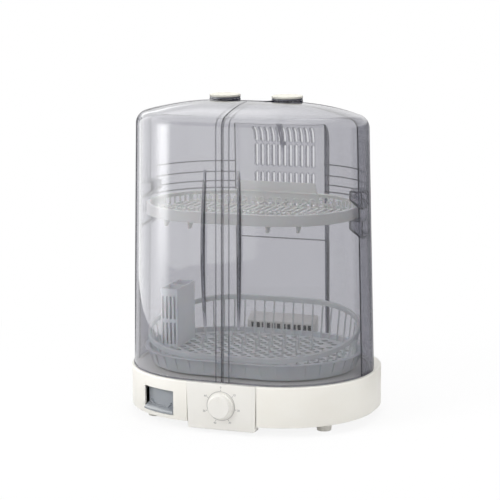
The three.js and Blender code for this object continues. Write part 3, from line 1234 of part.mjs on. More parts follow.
add('motor_shaft', motorShaft(), STEEL);
add('fan_motor', fanMotor(), STEEL);
add('intake_filter', intakeFilter(), FILTER);
add('cord_gland', cordGland(), RUBBER);
add('rear_cover', rearCover(), SMOKE);
for (const [side, word] of [[-1, 'left'], [1, 'right']]) {
  add(`${word}_door`, door(side), SMOKE);
  add(`${word}_pivot_collar`, pivotCollar(side), SMOKE_DARK);
  add(`${word}_pivot_pin`, pivotPin(side), STEEL);
  add(`${word}_pivot_cap`, pivotCap(side), IVORY);
}

export default dryer;
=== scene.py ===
"""The looks of an electric dish dryer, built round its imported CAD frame.

Lengths are in millimetres in the CAD source's own axes until a piece is finished. place() then turns
them into metres and moves them to the row frame.
"""

import math

import bmesh
import bpy
from mathutils import Matrix, Vector


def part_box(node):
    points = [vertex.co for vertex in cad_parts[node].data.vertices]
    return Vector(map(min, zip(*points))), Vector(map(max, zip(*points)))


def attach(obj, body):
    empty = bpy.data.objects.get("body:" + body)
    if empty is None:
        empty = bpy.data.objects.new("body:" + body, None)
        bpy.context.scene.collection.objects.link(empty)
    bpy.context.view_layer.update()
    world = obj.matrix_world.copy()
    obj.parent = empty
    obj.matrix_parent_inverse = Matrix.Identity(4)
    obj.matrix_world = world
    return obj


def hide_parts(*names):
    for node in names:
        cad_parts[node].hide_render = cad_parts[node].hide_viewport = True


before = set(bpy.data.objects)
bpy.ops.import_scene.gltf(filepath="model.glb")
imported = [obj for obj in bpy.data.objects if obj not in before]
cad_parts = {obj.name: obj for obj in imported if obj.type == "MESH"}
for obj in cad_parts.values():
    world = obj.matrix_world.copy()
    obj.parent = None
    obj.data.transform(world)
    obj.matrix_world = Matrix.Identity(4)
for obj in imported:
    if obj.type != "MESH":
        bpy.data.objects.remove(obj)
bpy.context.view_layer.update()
scene = bpy.context.scene

# Driving sizes, as in the CAD source
HALF_SPINE = 50.6
HOOD_R = 139.8
HOOD_DRAW_IN = 8.4
SHOULDER_R = 21
ROOF_TOP = 488
DOME_RISE = 22.6
ROOF_PITCH = 0.048
WALL = 2.2
COVER_INSET = 3.5
BASE_TOP = 77
DOOR_BOTTOM = 78.2
COVER_BOTTOM = 77.3
PIVOT_Y = 15.8
COVER_FRONT_ANGLE = -12
DOOR_REAR_ANGLE = 8
BRIDGE_FRONT_Y = -22
BRIDGE_DEPTH = 82
SEAM_HALF_GAP = 0.8
CAP_R = 23.9
CAP_TOP = 495
CENTRE_HALF = 77
CENTRE_Y = 149.5
CENTRE_TOP = 452
CENTRE_ROUND = 46
CENTRE_STEP, CENTRE_STEP_Z = 1.5, 250  # the middle panel steps in above this height
PIN_R = 5
GAP = 0.3
STAND_OFF = 0.03  # between a wall and a rib that is a piece of its own
FAR, HIGH = 260, 520  # beyond every piece
OUTLINE_STEPS, SWEEP_STEPS = 40, 56  # round half of the hood's plan
SHARP_EDGE, SHARP_SHADING = math.radians(30), math.radians(32)
SHIFT_Y = sum(c.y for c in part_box("left_pivot_cap")) / 2 * 1000 - PIVOT_Y

SHOULDER = HOOD_R - HOOD_DRAW_IN
DOME_R = (SHOULDER**2 + DOME_RISE**2) / (2 * DOME_RISE)
DOME_Z = ROOF_TOP - DOME_R
FILLET_X = SHOULDER - SHOULDER_R
FILLET_Z = DOME_Z + math.sqrt((DOME_R - SHOULDER_R) ** 2 - FILLET_X**2)


# Making shapes
def points_only(geometry):
    return [g for g in geometry if isinstance(g, bmesh.types.BMVert)]


def edges_only(geometry):
    return [g for g in geometry if isinstance(g, bmesh.types.BMEdge)]


def arc(x, y, radius, start, end, steps):
    """Points along an arc, with its angles in degrees."""
    turns = [math.radians(start + (end - start) * i / steps) for i in range(steps + 1)]
    return [(x + radius * math.cos(t), y + radius * math.sin(t)) for t in turns]


def raised(points, reach, axis="Z", bm=None):
    """A closed outline drawn out along an axis, from reach[0] to reach[1]."""
    along = {"X": lambda u, v, w: (w, u, v), "Y": lambda u, v, w: (u, w, v), "Z": lambda u, v, w: (u, v, w)}
    at = along[axis]
    bm = bm or bmesh.new()
    face = bm.faces.new([bm.verts.new(at(u, v, reach[0])) for u, v in points])
    made = bmesh.ops.extrude_face_region(bm, geom=[face])["geom"]
    bmesh.ops.translate(bm, vec=at(0, 0, reach[1] - reach[0]), verts=points_only(made))
    return bm


def block(x, y, z, bm=None):
    """A box between two values of each axis."""
    return raised([(x[0], y[0]), (x[1], y[0]), (x[1], y[1]), (x[0], y[1])], z, bm=bm)


def rod(a, b, radius, sides, bm=None, radius_end=None):
    """A round bar from one point to another."""
    bm = bm or bmesh.new()
    a, b = Vector(a), Vector(b)
    turn = (b - a).to_track_quat("Z", "Y").to_matrix().to_4x4()
    bmesh.ops.create_cone(
        bm, cap_ends=True, segments=sides, radius1=radius, radius2=radius_end or radius,
        depth=(b - a).length, matrix=Matrix.Translation((a + b) / 2) @ turn,
    )
    return bm


def turned(profile, centre, steps, axis="Z", angle=360, start=0):
    """(radius, height) points turned about an upright axis, or about one along Y."""
    bm = bmesh.new()
    whole = angle == 360
    ring = [bm.verts.new((r, 0, h)) for r, h in profile]
    joined = [bm.edges.new(p) for p in zip(ring, ring[1:])]
    if not whole or profile[0][0] > 0:
        joined.append(bm.edges.new((ring[-1], ring[0])))
    cap = [] if whole else [bm.faces.new(ring)]
    bmesh.ops.spin(
        bm, geom=ring + joined + cap, cent=(0, 0, 0), axis=(0, 0, 1), angle=math.radians(angle),
        steps=steps, use_merge=whole,
    )
    turn = Matrix.Rotation(math.radians(start), 4, "Z")
    if axis == "Y":
        turn = Matrix.Rotation(math.radians(90), 4, "X") @ turn
    bmesh.ops.transform(bm, matrix=Matrix.Translation(centre) @ turn, verts=bm.verts)
    return bm


def swept_oval(profile, slope=0.0, closed=False):
    """A (radius, height) profile carried round the hood's long round plan."""
    bm = bmesh.new()
    verts = [bm.verts.new((HALF_SPINE, -r, z)) for r, z in profile]
    pairs = list(zip(verts, verts[1:])) + ([(verts[-1], verts[0])] if closed else [])
    edges = [bm.edges.new(p) for p in pairs]
    last = bmesh.ops.spin(
        bm, geom=verts + edges, cent=(HALF_SPINE, 0, 0), axis=(0, 0, 1), angle=math.pi, steps=SWEEP_STEPS,
        use_merge=False,
    )["geom_last"]
    for rim in (edges, edges_only(last)):
        strip = bmesh.ops.extrude_edge_only(bm, edges=rim)["geom"]
        bmesh.ops.translate(bm, vec=(-HALF_SPINE, 0, 0), verts=points_only(strip))
    bmesh.ops.mirror(bm, geom=bm.verts[:] + bm.edges[:] + bm.faces[:], axis="X", merge_dist=1e-3)
    for vert in bm.verts:
        vert.co.z += slope * vert.co.y
    return bm


def oval_outline(radius):
    right = arc(HALF_SPINE, 0, radius, -90, 90, OUTLINE_STEPS)
    return right + [(-x, y) for x, y in reversed(right)]


def soften(bm, radius, segments, test=lambda middle: True):
    """Rounds the sharp edges whose middle passes the test."""
    clean(bm)
    sharp = [
        e for e in bm.edges
        if e.calc_face_angle(0) > SHARP_EDGE and test((e.verts[0].co + e.verts[1].co) / 2)
    ]
    bmesh.ops.bevel(
        bm, geom=sharp, offset=radius, offset_type="OFFSET", segments=segments, profile=0.5, affect="EDGES",
        material=-1, clamp_overlap=True,
    )


def clean(bm):
    bmesh.ops.remove_doubles(bm, verts=bm.verts, dist=1e-3)
    bmesh.ops.recalc_face_normals(bm, faces=bm.faces)
    return bm


def take(bm, part):
    """Adds another bmesh to this one."""
    mesh = bpy.data.meshes.new("part")
    clean(part).to_mesh(mesh)
    part.free()
    bm.from_mesh(mesh)
    bpy.data.meshes.remove(mesh)


def solid(bm, finish=0):
    """A working object. finish is the material index that its faces carry through a join."""
    clean(bm)
    for face in bm.faces:
        face.material_index = finish
    mesh = bpy.data.meshes.new("work")
    bm.to_mesh(mesh)
    bm.free()
    for _ in range(2):
        mesh.materials.append(None)
    made = bpy.data.objects.new("work", mesh)
    scene.collection.objects.link(made)
    return made


def drop(thing):
    mesh = thing.data
    bpy.data.objects.remove(thing)
    bpy.data.meshes.remove(mesh)


def combine(base, operation, *tools):
    """Joins, cuts or crosses solids, and uses the tools up.
    No tool holds parts that overlap, because the solver leaves stray faces where they do."""
    for tool in tools:
        modifier = base.modifiers.new("work", "BOOLEAN")
        modifier.operation = operation
        modifier.solver = "MANIFOLD"
        modifier.object = tool
        made = bpy.data.meshes.new_from_object(base.evaluated_get(bpy.context.evaluated_depsgraph_get()))
        base.modifiers.clear()
        old, base.data = base.data, made
        bpy.data.meshes.remove(old)
        if not len(made.polygons):
            raise SystemExit(f"nothing is left after a {operation}")
        drop(tool)
    return base


def join(base, *tools):
    return combine(base, "UNION", *tools)


def cut(base, *tools):
    return combine(base, "DIFFERENCE", *tools)


def cross(base, *tools):
    return combine(base, "INTERSECT", *tools)


def join_loose(base, parts):
    """Adds closed parts that run into the base, each still a closed part of its own."""
    bm = bmesh.new()
    bm.from_mesh(base.data)
    take(bm, parts)
    bm.to_mesh(base.data)
    bm.free()
    return base


def hood_radius(z):
    return HOOD_R - HOOD_DRAW_IN * (z - DOOR_BOTTOM) / (FILLET_Z - DOOR_BOTTOM)


def hood_layer(inset):
    """Everything inside the hood's outer face, so far in."""
    slant = math.degrees(math.atan2(FILLET_Z - DOME_Z, FILLET_X))
    wall = [(hood_radius(z) - inset, z) for z in (0, DOOR_BOTTOM + 6, FILLET_Z - 8)]
    shoulder = arc(FILLET_X, FILLET_Z, SHOULDER_R - inset, 0, slant, 12)
    dome = arc(0, DOME_Z, DOME_R - inset, slant, 90, 10)[1:-1]
    return solid(swept_oval([(0, 0), *wall, *shoulder, *dome, (0, ROOF_TOP - inset)], -ROOF_PITCH))


def sector(side, start, end, z):
    """An upright wedge about the centre of one side arc."""
    a = (start, end) if side > 0 else (180 - end, 180 - start)
    return solid(raised([(side * HALF_SPINE, 0), *arc(side * HALF_SPINE, 0, FAR, *a, 8)], z))


def place(thing, name, body, materials, replaced=()):
    """Names a finished piece, puts it in the row frame and ties it to its body, slot and nodes."""
    mesh = thing.data
    mesh.transform(Matrix.Diagonal((0.001, 0.001, 0.001, 1)) @ Matrix.Translation((0, SHIFT_Y, 0)))
    thing.name = mesh.name = name
    mesh.materials.clear()
    for material in materials:
        mesh.materials.append(material)
    mesh.polygons.foreach_set("use_smooth", [True] * len(mesh.polygons))
    mesh.set_sharp_from_angle(angle=SHARP_SHADING)
    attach(thing, body)
    if replaced:
        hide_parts(*replaced)


def mirrored(thing):
    """A copy on the other side of the middle."""
    copy = thing.copy()
    copy.data = thing.data.copy()
    scene.collection.objects.link(copy)
    copy.data.transform(Matrix.Diagonal((-1, 1, 1, 1)))
    copy.data.flip_normals()
    return copy


# Materials
def linear(code):
    """A colour written as sRGB hex, as linear RGBA."""
    parts = [int(code[i : i + 2], 16) / 255 for i in (0, 2, 4)]
    return (*(p / 12.92 if p <= 0.04045 else ((p + 0.055) / 1.055) ** 2.4 for p in parts), 1)


def add(tree, kind, links=None, **settings):
    """Adds a node. A setting is a socket where the node has one of that name, and otherwise a property."""
    made = tree.nodes.new("ShaderNode" + kind)
    sockets = {s.name.replace(" ", "_"): s for s in reversed(made.inputs)}
    for name, value in settings.items():
        if name in sockets:
            sockets[name].default_value = value
        else:
            setattr(made, name, value)
    for name, source in (links or {}).items():
        tree.links.new(source, made.inputs[name])
    return made


def new_material(name):
    material = bpy.data.materials.new(name)
    material.use_nodes = True
    material.node_tree.nodes.clear()
    return material, material.node_tree


def per_mm(size):
    """The scale at which a noise or wave texture repeats about every so many millimetres."""
    return 1000 / size


def moulded(name, colour, shade, roughness, grain=0.8, depth=0.02, patch=45, **shader):
    """Moulded plastic: a fine spark-eroded grain, and broad faint differences in colour and gloss.
    grain, depth and patch are in millimetres."""
    material, tree = new_material(name)
    where = add(tree, "TexCoord").outputs["Object"]
    broad = add(tree, "TexNoise", {"Vector": where}, Scale=per_mm(patch), Detail=3, Roughness=0.6)
    tone = add(tree, "ValToRGB", {"Fac": broad.outputs["Fac"]})
    low, high = tone.color_ramp.elements
    low.position, high.position = 0.3, 0.7
    low.color, high.color = linear(shade), linear(colour)
    gloss = add(tree, "MapRange", {"Value": broad.outputs["Fac"]}, To_Min=roughness * 0.85,
                To_Max=roughness * 1.15)
    fine = add(tree, "TexNoise", {"Vector": where}, Scale=per_mm(grain), Detail=2, Roughness=0.5)
    bump = add(tree, "Bump", {"Height": fine.outputs["Fac"]}, Strength=0.5, Distance=depth / 1000)
    surface = add(
        tree, "BsdfPrincipled",
        {"Base Color": tone.outputs["Color"], "Roughness": gloss.outputs["Result"],
         "Normal": bump.outputs["Normal"]},
        **shader,
    )
    add(tree, "OutputMaterial", {"Surface": surface.outputs["BSDF"]})
    return material


STYRENE_IOR = 1.57
FLOW = 70  # mm between the broad waves that the mould leaves in a clear wall


def clear_plastic(name, tint, dye, strength, roughness, depth=0.05, **shader):
    """Clear plastic with a dye that takes light along the way through it, so that ribs and edges look
    darker. The faces are a little uneven from the mould, and lamps shine through them."""
    material, tree = new_material(name)
    where = add(tree, "TexCoord").outputs["Object"]
    flow = add(tree, "TexNoise", {"Vector": where}, Scale=per_mm(FLOW), Detail=1, Roughness=0.4)
    gloss = add(tree, "MapRange", {"Value": flow.outputs["Fac"]}, To_Min=roughness * 0.6,
                To_Max=roughness * 1.4)
    bump = add(tree, "Bump", {"Height": flow.outputs["Fac"]}, Strength=0.4, Distance=depth / 1000)
    surface = add(
        tree, "BsdfPrincipled", {"Roughness": gloss.outputs["Result"], "Normal": bump.outputs["Normal"]},
        **{"Base_Color": linear(tint), "Transmission_Weight": 1, "IOR": STYRENE_IOR, **shader},
    )
    through = add(tree, "BsdfTransparent", Color=(1, 1, 1, 1))
    path = add(tree, "LightPath")
    mixed = add(tree, "MixShader", {
        0: path.outputs["Is Shadow Ray"], 1: surface.outputs["BSDF"], 2: through.outputs["BSDF"],
    })
    dyed = add(tree, "VolumeAbsorption", Color=linear(dye), Density=strength)
    add(tree, "OutputMaterial", {"Surface": mixed.outputs["Shader"], "Volume": dyed.outputs["Volume"]})
    return material


def metal(name, colour, shade, roughness, line=0.6, patch=12):
    """Bare metal: a fine unevenness in the gloss, with cloudy patches of colour. line and patch are in mm."""
    material, tree = new_material(name)
    where = add(tree, "TexCoord").outputs["Object"]
    cloud = add(tree, "TexNoise", {"Vector": where}, Scale=per_mm(patch), Detail=4, Roughness=0.6)
    tone = add(tree, "ValToRGB", {"Fac": cloud.outputs["Fac"]})
    low, high = tone.color_ramp.elements
    low.color, high.color = linear(shade), linear(colour)
    lines = add(tree, "TexNoise", {"Vector": where}, Scale=per_mm(line), Detail=1)
    gloss = add(tree, "MapRange", {"Value": lines.outputs["Fac"]}, To_Min=roughness * 0.7,
                To_Max=roughness * 1.3)
    surface = add(
        tree, "BsdfPrincipled", {"Base Color": tone.outputs["Color"], "Roughness": gloss.outputs["Result"]},
        Metallic=1,
    )
    add(tree, "OutputMaterial", {"Surface": surface.outputs["BSDF"]})
    return material


# ABS, moulded with a fine matt grain: soft highlights on a warm white
IVORY = moulded("ivory_abs_moulded", "F3F1EA", "F1EEE6", 0.42)
# The panel is the same ABS from a smoother mould: a little whiter and glossier
PANEL_WHITE = moulded("ivory_abs_smooth", "EDEBE6", "EBE9E3", 0.34, grain=1.2, depth=0.01)
# The caps have a chalky matt grain, so that no sheen hides their cream colour at a flat angle. Their colour
# is the ivory ABS painted darker: painted shade that tones down the strong light on their tops.
CAP_PAINTED_SHADE = moulded("ivory_abs_chalky", "CFCDC4", "CCCAC0", 0.75, Specular_IOR_Level=0.12)
# Styrene-acrylonitrile, smoke tinted: glossy and clear, slightly violet grey
SMOKE = clear_plastic("smoke_styrene_clear", "E7E7E8", "9797AC", 140, 0.03)
# The grips are the walls' plastic, polished: they look like glass rods in front of the wall. Their tint and
# dye are darker and denser than the walls': painted shade along the grips.
SMOKE_GRIP_PAINTED_SHADE = clear_plastic("smoke_styrene_grips", "DCDCE1", "8C8C98", 170, 0.02)
# The ledges of the rear cover, seen along their depth, where the dye adds up. The dye is also darker and far
# denser than the walls': painted shade, so that the ledges read as dark lines.
SMOKE_EDGE = clear_plastic("smoke_styrene_edge", "D8D8DC", "606068", 900, 0.05)
# Ribs and lower edges of the doors, deeper sections where the dye adds up. The dye is also darker and denser
# than the walls': painted shade, so that the ribs read as dark lines and the bead on each lower edge as the
# shadow gap over the base.
SMOKE_RIB_PAINTED_SHADE = clear_plastic("smoke_styrene_ribs", "E4E4E8", "70707C", 460, 0.03)
# Smoke ABS: the rings under the caps are nearly black with a soft gloss
SMOKE_RING = moulded("smoke_abs_ring", "55565E", "4C4D55", 0.25, grain=1.0, depth=0.008, Coat_Weight=0.3)
WAXY = {"grain": 1.0, "depth": 0.012}
# Polypropylene with a pale grey-green dye: waxy and slightly see-through at its edges
RACK = moulded("grey_polypropylene", "E8E9E2", "E3E4DD", 0.38, **WAXY, Subsurface_Weight=0.12,
               Subsurface_Scale=0.003)
# The basket is the rack's polypropylene, painted a shade darker: painted shade, as it sits low under the rack
BASKET = moulded("grey_polypropylene_basket", "D8DBD9", "D3D6D4", 0.38, **WAXY, Subsurface_Weight=0.12,
                 Subsurface_Scale=0.003)
# The holder is the rack's polypropylene, painted paler: painted light that makes up for the shade behind the
# doors and the basket, so that it looks as grey as the rack
HOLDER = moulded("grey_polypropylene_holder", "F6F8F8", "F2F5F5", 0.4, **WAXY, Subsurface_Weight=0.15,
                 Subsurface_Scale=0.004)
# Polypropylene without a filler: the tray is cloudy and lets some light through
TRAY = moulded("cloudy_polypropylene", "D3D8D9", "CED3D4", 0.3, grain=1.4, depth=0.01, Subsurface_Weight=0.2,
               Subsurface_Scale=0.004)
# Smoke styrene in a frosted wall for the tank: what is inside shows only as a haze. It lets only some light
# through and shows a pale grey-blue: painted light that lifts the shade in its deep bay
TANK = clear_plastic("smoke_styrene_tank", "AEB3B9", "8A9098", 60, 0.16, depth=0.02,
                     Transmission_Weight=0.3)
# Thermoplastic rubber, moulded: matt, and nearly as pale as the base
RUBBER = moulded("grey_rubber_moulded", "F2F0EA", "ECEAE3", 0.8, grain=0.6, depth=0.03)
# Black ABS, moulded: a dull dark grey in the shade of the base and the outlet. The sheet behind the outlet's
# slots wears it as painted shade.
BLACK = moulded("black_abs_moulded", "2E2E30", "29292B", 0.5)
# Pad-printing ink: an even mid grey without gloss. The thin ring round the knob is printed in it too, as
# painted shade.
PRINT_AND_SHADE_INK = moulded("grey_pad_printing_ink", "8A8A8C", "7F7F82", 0.6, grain=0.3, depth=0.004)
# Turned steel: bright, with a fine unevenness from the tool
STEEL = metal("turned_steel", "C9CCD0", "B9BCC0", 0.3)
# Zinc-coated sheet: duller and cloudier than bare steel
GALVANISED = metal("galvanised_steel_sheet", "B9BDC0", "A4A9AD", 0.42, patch=9)
# Resistance wire with its oxide skin: dark and brownish
HEATER = metal("resistance_alloy_wire", "8F8A86", "7A736D", 0.4, line=0.4)
# Mica board: a matt straw-brown laminate with fine flakes
MICA = moulded("mica_board_pressed", "B9A97F", "A4925F", 0.7, grain=1.5, depth=0.05, patch=6)
# Open polyurethane foam: matt and pitted
FOAM = moulded("filter_foam_open", "45484B", "35383B", 0.95, grain=1.6, depth=0.6)

# Camera, floor, world and lamps
CAMERA_TURN, CAMERA_LIFT, CAMERA_ROLL = (math.radians(a) for a in (20.32, 10.25, -0.36))
CAMERA_DISTANCE = 3084.3
CAMERA_AIM = (-5.17, 256.13)  # across the view and up, in mm
SENSOR = 36
CAMERA_FOCAL = 1997.7 / 500 * SENSOR  # from a focal length of 1997.7 pixels in a picture 500 wide

right = Vector((math.cos(CAMERA_TURN), math.sin(CAMERA_TURN), 0))
back = Vector((
    math.sin(CAMERA_TURN) * math.cos(CAMERA_LIFT), -math.cos(CAMERA_TURN) * math.cos(CAMERA_LIFT),
    math.sin(CAMERA_LIFT),
))
up = back.cross(right)
roll_cos, roll_sin = math.cos(CAMERA_ROLL), math.sin(CAMERA_ROLL)
rolled_right = roll_cos * right + roll_sin * up
rolled_up = -roll_sin * right + roll_cos * up
aim = Vector((CAMERA_AIM[0] * right.x, CAMERA_AIM[0] * right.y + SHIFT_Y, CAMERA_AIM[1]))
camera = bpy.data.objects.new("camera", bpy.data.cameras.new("camera"))
camera.data.lens = CAMERA_FOCAL
camera.data.sensor_width = SENSOR
camera.data.clip_end = 20
camera.matrix_world = Matrix.Translation((aim + CAMERA_DISTANCE * back) / 1000) @ Matrix(
    (rolled_right, rolled_up, back)
).transposed().to_4x4()
scene.collection.objects.link(camera)
scene.camera = camera
scene.view_settings.view_transform = "Standard"

WORLD_LIGHT = 0.5


def seen_rays(tree):
    """1 for the rays of the camera, of reflections and of clear plastic."""
    path = add(tree, "LightPath")
    camera_ray, glossy_ray, clear_ray = (
        path.outputs[f"Is {kind} Ray"] for kind in ("Camera", "Glossy", "Transmission")
    )
    either = add(tree, "Math", {0: camera_ray, 1: glossy_ray}, operation="MAXIMUM")
    return add(tree, "Math", {0: either.outputs[0], 1: clear_ray}, operation="MAXIMUM").outputs[0]


world = bpy.data.worlds.new("studio")
scene.world = world
world.use_nodes = True
tree = world.node_tree
tree.nodes.clear()
dim = add(tree, "Background", Color=(1, 1, 1, 1), Strength=WORLD_LIGHT)
white = add(tree, "Background", Color=(1, 1, 1, 1), Strength=1)
mixed = add(tree, "MixShader", {0: seen_rays(tree), 1: dim.outputs[0], 2: white.outputs[0]})
add(tree, "OutputWorld", {"Surface": mixed.outputs[0]})

# The floor is matt and pale. Seen directly it is mostly its own white, and it keeps a soft shadow.
paper, tree = new_material("white_paper_sweep")
where = add(tree, "TexCoord").outputs["Object"]
distance = add(tree, "VectorMath", {0: where}, operation="LENGTH")
share = add(tree, "MapRange", {"Value": distance.outputs["Value"]}, From_Min=0.2, From_Max=0.8, To_Min=0.86,
            To_Max=1)
seen = add(tree, "Math", {0: share.outputs["Result"], 1: seen_rays(tree)}, operation="MULTIPLY")
matt = add(tree, "BsdfDiffuse", Color=linear("F4F4F4"), Roughness=1)
glow = add(tree, "Emission", Color=(1, 1, 1, 1), Strength=1)
mixed = add(tree, "MixShader", {0: seen.outputs[0], 1: matt.outputs[0], 2: glow.outputs[0]})
add(tree, "OutputMaterial", {"Surface": mixed.outputs[0]})
floor_bm = bmesh.new()
bmesh.ops.create_grid(floor_bm, x_segments=2, y_segments=2, size=12)
floor_mesh = bpy.data.meshes.new("floor")
floor_bm.to_mesh(floor_mesh)
floor_bm.free()
floor_mesh.materials.append(paper)
floor = bpy.data.objects.new("floor", floor_mesh)
scene.collection.objects.link(floor)


def facing(at, aim_at):
    """The turn of a lamp or card that looks from one place at another."""
    return (Vector(at) - Vector(aim_at)).to_track_quat("Z", "Y")


def lamp(name, at, aim_at, size, power):
    """A soft rectangular lamp, in metres and watts. It isn't mirrored: the cards below are."""
    data = bpy.data.lights.new(name, "AREA")
    data.shape = "RECTANGLE"
    data.size, data.size_y = size
    data.energy = power
    made = bpy.data.objects.new(name, data)
    made.location = at
    made.rotation_euler = facing(at, aim_at).to_euler()
    made.visible_camera = made.visible_transmission = made.visible_glossy = False
    scene.collection.objects.link(made)


MIDDLE = (0, 0, 0.24)
lamp("key", (-1.1, -1.6, 1.5), MIDDLE, (1.0, 1.0), 18)
lamp("fill", (1.7, -1.3, 0.8), MIDDLE, (1.2, 1.2), 7)
lamp("top", (0.1, 0.1, 2.0), MIDDLE, (1.2, 1.2), 19)


def card(name, at, aim_at, size, brightness, soft):
    """A studio card, in metres: it shows only in reflections, and fades out over the soft part of its
    width and height."""
    material, tree = new_material(name)
    spot = add(tree, "SeparateXYZ", {0: add(tree, "TexCoord").outputs["Object"]})
    fades = []
    for axis, length, part in zip("XY", size, soft):
        off = add(tree, "Math", {0: spot.outputs[axis]}, operation="ABSOLUTE")
        fades.append(add(
            tree, "MapRange", {"Value": off.outputs[0]}, interpolation_type="SMOOTHSTEP",
            From_Min=length / 2 * (1 - part), From_Max=length / 2, To_Min=1, To_Max=0,
        ))
    across, upward = (f.outputs["Result"] for f in fades)
    fade = add(tree, "Math", {0: across, 1: upward}, operation="MULTIPLY")
    clear = add(tree, "BsdfTransparent", Color=(1, 1, 1, 1))
    light = add(tree, "Emission", Color=(1, 1, 1, 1), Strength=brightness)
    mixed = add(tree, "MixShader", {0: fade.outputs[0], 1: clear.outputs[0], 2: light.outputs[0]})
    add(tree, "OutputMaterial", {"Surface": mixed.outputs[0]})
    bm = bmesh.new()
    bmesh.ops.create_grid(bm, x_segments=1, y_segments=1, size=0.5)
    bmesh.ops.scale(bm, vec=(*size, 1), verts=bm.verts)
    mesh = bpy.data.meshes.new(name)
    bm.to_mesh(mesh)
    bm.free()
    mesh.materials.append(material)
    made = bpy.data.objects.new(name, mesh)
    made.matrix_world = Matrix.Translation(at) @ facing(at, aim_at).to_matrix().to_4x4()
    made.visible_camera = made.visible_diffuse = made.visible_transmission = made.visible_shadow = False
    made.visible_volume_scatter = False
    scene.collection.objects.link(made)


# Soft lights on the left, dark cards behind both sides, and a bright ceiling that the roof mirrors
card("soft_light_left", (-0.71, -0.43, 0.42), (0, -0.43, 0.42), (0.5, 1.0), 10.5, (0.9, 1))
card("side_light_left", (-0.983, 0.063, 0.5), (-0.045, 0.41, 0.5), (1.5, 1.6), 3.6, (0.5, 0.3))
card("broad_light_left", (-1.1, -1.4, 0.5), (0, -0.2, 0.5), (2.4, 1.8), 2.6, (0.6, 0.5))
card("dark_card_right", (-0.186, 1.424, 0.1), (-1.124, 1.077, 0.1), (3.0, 0.8), 0.06, (0.04, 0.1))
card("dark_card_left", (-0.943, 1.57, 0.1), (-0.005, 1.917, 0.1), (3.0, 0.8), 0.06, (0.04, 0.1))
card("dark_strip_behind", (-0.72, 1.87, 0.61), (0, 0, 0.61), (3.4, 0.12), 0.05, (0.1, 0.5))
card("bright_ceiling", (0, 1.2, 1.3), (0, 1.2, 0), (10, 10), 1.2, (0.5, 0.5))
card("light_above", (-1.6, 0.5, 1.27), (-1.6, 0.5, 0), (3.4, 2.8), 2.1, (0.47, 0.5))
card("light_above_left", (-2.3, 2.2, 1.26), (-2.3, 2.2, 0), (2.4, 2.0), 2.6, (0.5, 0.5))
card("light_over_front", (-0.7, 0.0, 1.25), (-0.7, 0.0, 0), (3.2, 2.0), 3.0, (0.5, 0.6))


# Hood: doors and rear cover
def front_band(x):
    """The doors' front half, between two distances from the middle."""
    return solid(block(x, (-FAR, BRIDGE_FRONT_Y - SEAM_HALF_GAP), (DOOR_BOTTOM, HIGH)))


def between_layers(outer, inner, *limits):
    """A shell of the hood between two depths, within the limits."""
    return cross(cut(hood_layer(outer), hood_layer(inner)), *limits)


GRIP_Z = (161, 398)
GRIP_X, GRIP_BOW, GRIP_PROUD, GRIP_WIDTH = 26.5, 2.2, 8, 4.2
GRIP_STEPS, GRIP_LEAST = 40, 0.2  # the least keeps a thickness where the fin dies into the wall


def about_pivot(side, low, radius, sides):
    """A round bar on a door's pivot, from a height up past the roof."""
    at = (side * HALF_SPINE, PIVOT_Y)
    return solid(rod((*at, low), (*at, HIGH), radius, sides))


def pin_hole(side):
    return about_pivot(side, 400, PIN_R + GAP, 32)


def door_grip():
    """A fin that swells out of the front wall, bows sideways and dies into the wall at both ends."""
    heights = [GRIP_Z[0] + (GRIP_Z[1] - GRIP_Z[0]) * i / GRIP_STEPS for i in range(GRIP_STEPS + 1)]
    swell = [GRIP_LEAST + GRIP_PROUD * math.sin(math.pi * i / GRIP_STEPS) ** 0.8 for i in range(GRIP_STEPS)]
    swell.append(GRIP_LEAST)
    crest = [(-hood_radius(z) - s, z) for z, s in zip(heights, swell)]
    root = [(-hood_radius(z) - STAND_OFF, z) for z in reversed(heights)]
    bm = raised(crest + root, (GRIP_X - GRIP_WIDTH / 2, GRIP_X + GRIP_WIDTH / 2), "X")
    for vert in bm.verts:
        share = 2 * (vert.co.z - GRIP_Z[0]) / (GRIP_Z[1] - GRIP_Z[0]) - 1
        vert.co.x += GRIP_BOW * (1 - share**2)
    soften(bm, 1.1, 3, lambda m: m.y < -hood_radius(m.z) - 0.6)
    return solid(bm)


BOSS_Z, RING_Z, DISC_Z = (485.6, 488.6), (488.9, 491.4), (493.7, CAP_TOP)  # stacked on the roof


def right_door():
    """A shell from the seam back to a slanting cut, with a flat boss on the roof for its pivot."""
    reach = HOOD_R + 60
    turn = math.radians(DOOR_REAR_ANGLE)
    rear = (HALF_SPINE + HOOD_R * math.cos(turn), HOOD_R * math.sin(turn))
    slope = (rear[1] - PIVOT_Y) / (rear[0] - HALF_SPINE)
    front = BRIDGE_FRONT_Y - SEAM_HALF_GAP
    plan = solid(raised(
        [(SEAM_HALF_GAP, -FAR), (HALF_SPINE + reach, -FAR), (HALF_SPINE + reach, PIVOT_Y + slope * reach),
         (HALF_SPINE, PIVOT_Y), (HALF_SPINE, front), (SEAM_HALF_GAP, front)], (DOOR_BOTTOM, HIGH)))
    door = between_layers(0, WALL, plan)
    low, high = BOSS_Z
    boss = [(0, low), (CAP_R, low), (CAP_R, high - 0.3), (CAP_R - 0.3, high), (0, high)]
    return cut(join(door, solid(turned(boss, (HALF_SPINE, PIVOT_Y, 0), 64))), pin_hole(1))


